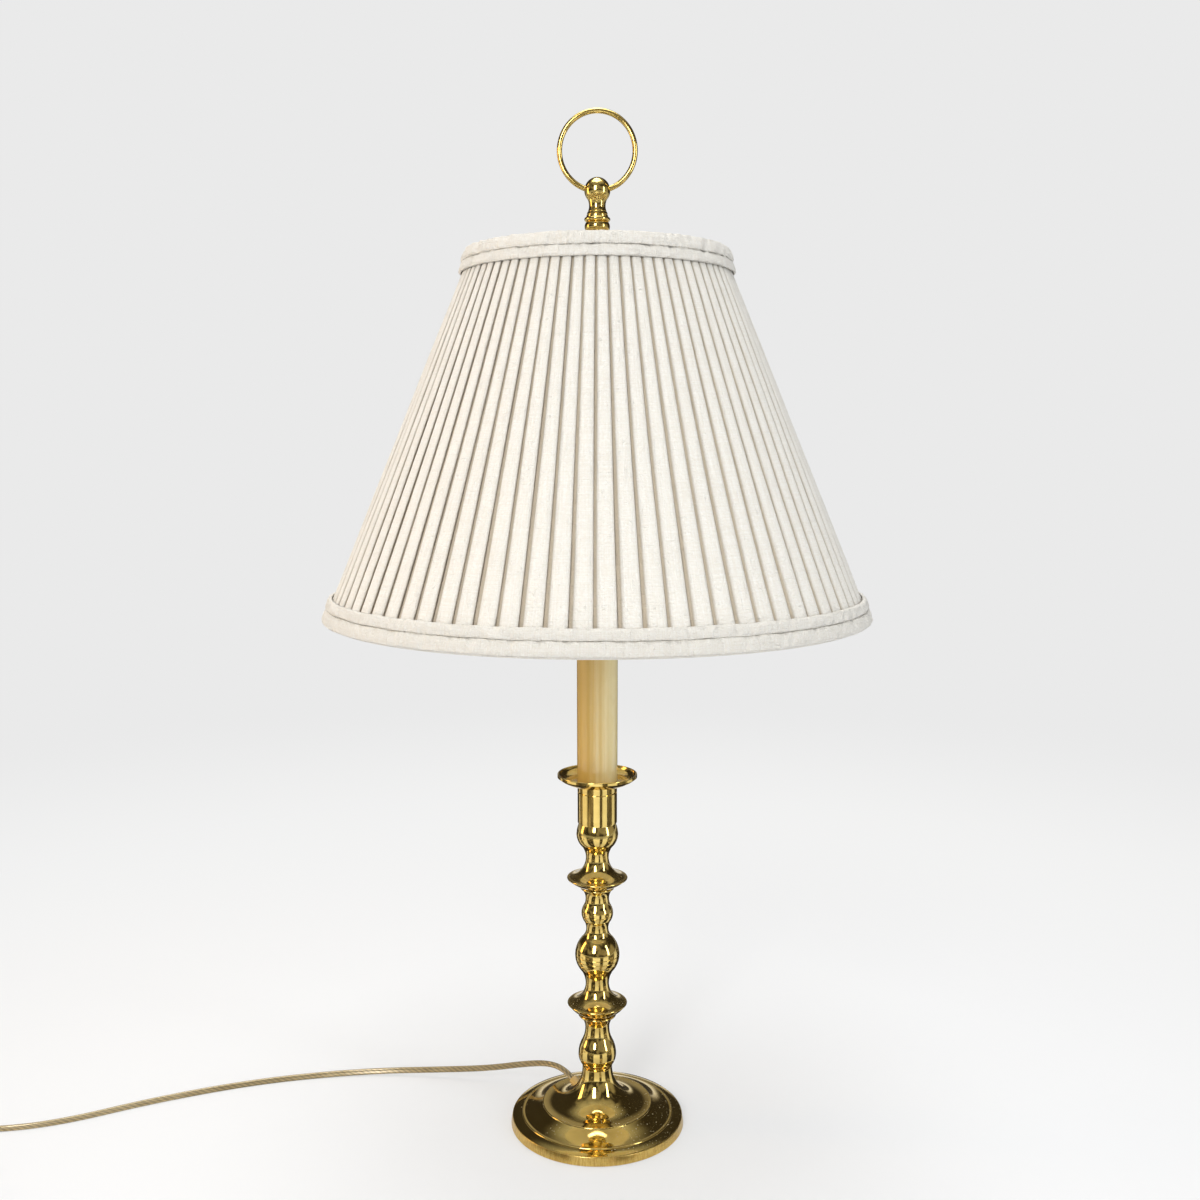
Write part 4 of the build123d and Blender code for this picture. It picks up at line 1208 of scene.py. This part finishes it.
    def band(self, plan: Band, edge: float, columns: int) -> Piece:
        """Fold one strip of linen round the shade.

        Args:
            plan: The strip.
            edge: Slope distance from the top edge that the strip's place counts from.
            columns: Divisions round the shade.

        Returns:
            The strip.
        """
        start = edge + plan.top
        girth = self.girth(start)

        def place(across: float, round_it: float) -> Vector:
            """Find a point of the strip.

            Args:
                across: Share of the way round the shade.
                round_it: Share of the way round the strip, down its face and up its back.

            Returns:
                The point.
            """
            angle = math.tau * (across % 1.0)
            east, north = math.cos(angle) * girth, math.sin(angle) * girth
            outer = round_it < plan.face_share
            share = round_it / plan.face_share if outer else (1.0 - round_it) / (1.0 - plan.face_share)
            from_middle = abs(2.0 * share - 1.0)
            swell = (1.0 - from_middle ** 6) ** 0.5
            pucker = abs(steady(east * 26, north * 26, share * 1.2))
            fine = steady(east * 70, north * 70, share * 2.0)
            near_edge = 0.35 + 0.65 * from_middle ** 1.5
            wrinkle = plan.puckers * near_edge * (1.6 * (0.5 - 2.2 * pucker) + 0.8 * fine)
            stand = plan.thickness * swell + plan.crown * math.sin(math.pi * share) + wrinkle * swell
            wave = plan.wave * steady(east * 9, north * 9, 4.0 + share * 0.4)
            inward = plan.thickness - self.trim_stand - plan.lift - (stand if outer else 0.1 * stand)
            return self.on_cone(angle, start + plan.width * share + wave, inward)

        bm = cloth_sheet(columns, plan.rows, place, (girth, 2.1 * plan.width), plan.seam)
        return settle(plan.name, bm, self.trim_linen, Body.SHADE, Slot.TRIM)

    def binding(self, name: str, middle: float, width: float, columns: int) -> Piece:
        """Fold the narrow strip that closes the shade's edge, from the trim across to the lining.

        Args:
            name: The strip's name.
            middle: Slope distance of the strip's middle from the top edge.
            width: The strip's width, folded.
            columns: Divisions round the shade.

        Returns:
            The strip.
        """
        girth = self.girth(middle)

        def place(across: float, round_it: float) -> Vector:
            """Find a point of the strip.

            Args:
                across: Share of the way round the shade.
                round_it: Share of the way round the strip.

            Returns:
                The point.
            """
            angle = math.tau * (across % 1.0)
            turn = math.tau * (round_it % 1.0)
            side, rise = math.cos(turn), math.sin(turn)
            inward = self.binding_inner - width / 2 + width / 2 * math.copysign(abs(side) ** 0.4, side)
            wave = 1.0 + 0.12 * steady(math.cos(angle) * girth * 40, math.sin(angle) * girth * 40, inward * 90)
            down = middle + self.binding_thickness / 2 * wave * math.copysign(abs(rise) ** 0.6, rise)
            return self.on_cone(angle, down, inward)

        bm = cloth_sheet(columns, self.binding_rows, place, (girth, 2.2 * width), self.seam)
        return settle(name, bm, self.trim_linen, Body.SHADE, Slot.TRIM)

    def trim(self, node: str, girth: float, width: float) -> None:
        """Hide the solid of the trim that a strip stands for.

        Args:
            node: The trim that it stands for.
            girth: Not used.
            width: Not used.
        """
        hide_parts(node)

    def trims(self) -> None:
        half = self.binding_thickness / 2
        top_lap, bottom_lap = self.binding_lap
        for node, edge, bands, columns, middle, lap in (
            ("top_trim", 0.0, self.top_bands, self.top_columns, half, top_lap),
            ("bottom_trim", self.slant, self.bottom_bands, self.bottom_columns, self.slant - half, bottom_lap),
        ):
            width = self.binding_inner + lap
            strip = self.binding(f"{node}_binding", middle, width, columns // 2)
            self.trim(node, self.girth(middle), width)
            for plan in bands:
                strip = self.band(plan, edge, columns)
                self.trim(node, self.girth(edge + plan.top + plan.width / 2), plan.width)

    def build(self) -> None:
        """Make the shade's cover and trims."""
        self.cover()
        self.trims()


# ---- the base and the solids


@dataclass
class FeltPad:
    """The round of felt under the foot."""

    radius: float = 0.068
    thickness: float = 0.0018
    edge_segments: int = 3
    sides: int = 160
    raggedness: float = 0.002
    rags: float = 40.0

    def build(self) -> None:
        bm = bmesh.new()
        bmesh.ops.create_circle(bm, cap_ends=True, radius=self.radius, segments=self.sides)
        grown = bmesh.ops.extrude_face_region(bm, geom=bm.faces[:])["geom"]
        lifted = [item for item in grown if isinstance(item, bmesh.types.BMVert)]
        bmesh.ops.translate(bm, verts=lifted, vec=(0.0, 0.0, self.thickness))
        bmesh.ops.recalc_face_normals(bm, faces=bm.faces[:])
        rims = [edge for edge in bm.edges if edge.calc_face_angle(0.0) > 1.0]
        bmesh.ops.bevel(bm, geom=rims, offset=self.thickness / 4, segments=self.edge_segments,
                        affect="EDGES", profile=0.5, material=-1)
        for vert in bm.verts:
            angle = math.atan2(vert.co.y, vert.co.x)
            vert.co.xy *= 1.0 + self.raggedness * steady(self.rags * math.cos(angle), self.rags * math.sin(angle))
        made = settle("felt_round", bm, Felt("green_felt"), Body.LAMP, Slot.FELT)
        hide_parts("felt_pad")


@dataclass
class Fittings:
    """The CAD solids that keep their shape, by their finish and slot."""

    plan: tuple[tuple[Finish, Slot, str], ...] = (
        (BandedMetal("polished_brass_foot", gloss=0.035, smear_roughness=0.07, dust=0.06), Slot.BRASS, "base_foot"),
        (Metal("polished_brass_turning"), Slot.BRASS, "pear_baluster lower_disc vase_baluster stem_knop upper_disc"),
        (Metal("polished_brass_cup", gloss=0.08), Slot.BRASS, "candle_cup drip_pan candle_cap"),
        (Metal("polished_brass_ring", gloss=0.1, line_depth=0.0000003, dust=0.05), Slot.BRASS,
         "finial_body finial_ring"),
        (Metal("socket_brass", (0.78, 0.58, 0.28), (0.55, 0.38, 0.16), 0.22, 0.2, lacquer=0.0), Slot.SOCKET,
         "socket_cap socket_shell terminal_screws socket_screw_shell socket_contact switch_shaft plug_blades"),
        (Metal("plated_wire", (0.8, 0.6, 0.28), (0.6, 0.4, 0.16), 0.16, fineness=900.0), Slot.PLATED,
         "harp_saddle harp_wire harp_stud harp_ferrule_left harp_ferrule_right spider_washer spider_arms"),
        (Metal("zinc_plate", (0.62, 0.62, 0.6), (0.42, 0.42, 0.4), 0.3, line_roughness=0.12, lacquer=0.0), Slot.ZINC,
         "threaded_rod rod_nut rod_washer"),
        (Metal("bulb_screw_cap", (0.78, 0.78, 0.77), (0.6, 0.6, 0.59), 0.24, lacquer=0.0), Slot.BULB_METAL,
         "bulb_cap bulb_tip"),
        (CastIron("cast_iron_weight"), Slot.IRON, "base_weight"),
        (CandlePlastic("candle_cover_plastic", (0.76, 0.66, 0.38), (0.7, 0.58, 0.3), 0.2, skin_depth=0.000006,
                       lacquer=0.4, glow=0.1), Slot.CANDLE, "candle_cover"),
        (Plastic("black_moulding", (0.022, 0.02, 0.018), (0.012, 0.011, 0.01), 0.25), Slot.INSULATOR,
         "socket_body switch_knob"),
        (Plastic("brown_card", (0.36, 0.26, 0.15), (0.28, 0.19, 0.1), 0.75, 0.00004), Slot.CARD, "socket_sleeve"),
        (Plastic("bush_plastic", (0.62, 0.42, 0.14), (0.5, 0.32, 0.1), 0.2, lacquer=0.6), Slot.CLEAR, "cord_bush"),
        (Plastic("plug_plastic", (0.6, 0.42, 0.15), (0.5, 0.33, 0.1), 0.24, 0.00002, lacquer=0.5, glow=0.15),
         Slot.PLUG, "plug_body"),
        (Plastic("coated_wire", (0.85, 0.83, 0.78), (0.78, 0.75, 0.69), 0.35), Slot.WIRE,
         "shade_top_ring shade_bottom_ring"),
        (Plastic("shade_lining_sheet", (0.84, 0.81, 0.74), (0.8, 0.76, 0.68), 0.5, 0.00003, glow=0.1), Slot.LINING,
         "shade_lining"),
        (FrostedGlass("frosted_bulb_glass"), Slot.GLASS, "bulb_glass"),
        (Plastic("inner_cord_jacket", (0.6, 0.42, 0.16), (0.46, 0.3, 0.1), 0.25), Slot.CORD, "inner_cord"),
    )

    def build(self) -> None:
        """Give each solid its finish."""
        for finish, slot, names in self.plan:
            for name in names.split():
                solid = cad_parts[name]
                solid.data.materials.clear()
                solid.data.materials.append(finish.material())
                log.info("%s: %s, slot %s", name, finish.name, slot.value)


# ---- building


def main() -> None:
    """Build the studio and then the lamp, cord first."""
    logging.basicConfig(level=logging.INFO, format="%(message)s")
    Studio().build()
    Cord().build()
    FeltPad().build()
    Fittings().build()
    Shade().build()


if __name__ == "__main__":
    main()
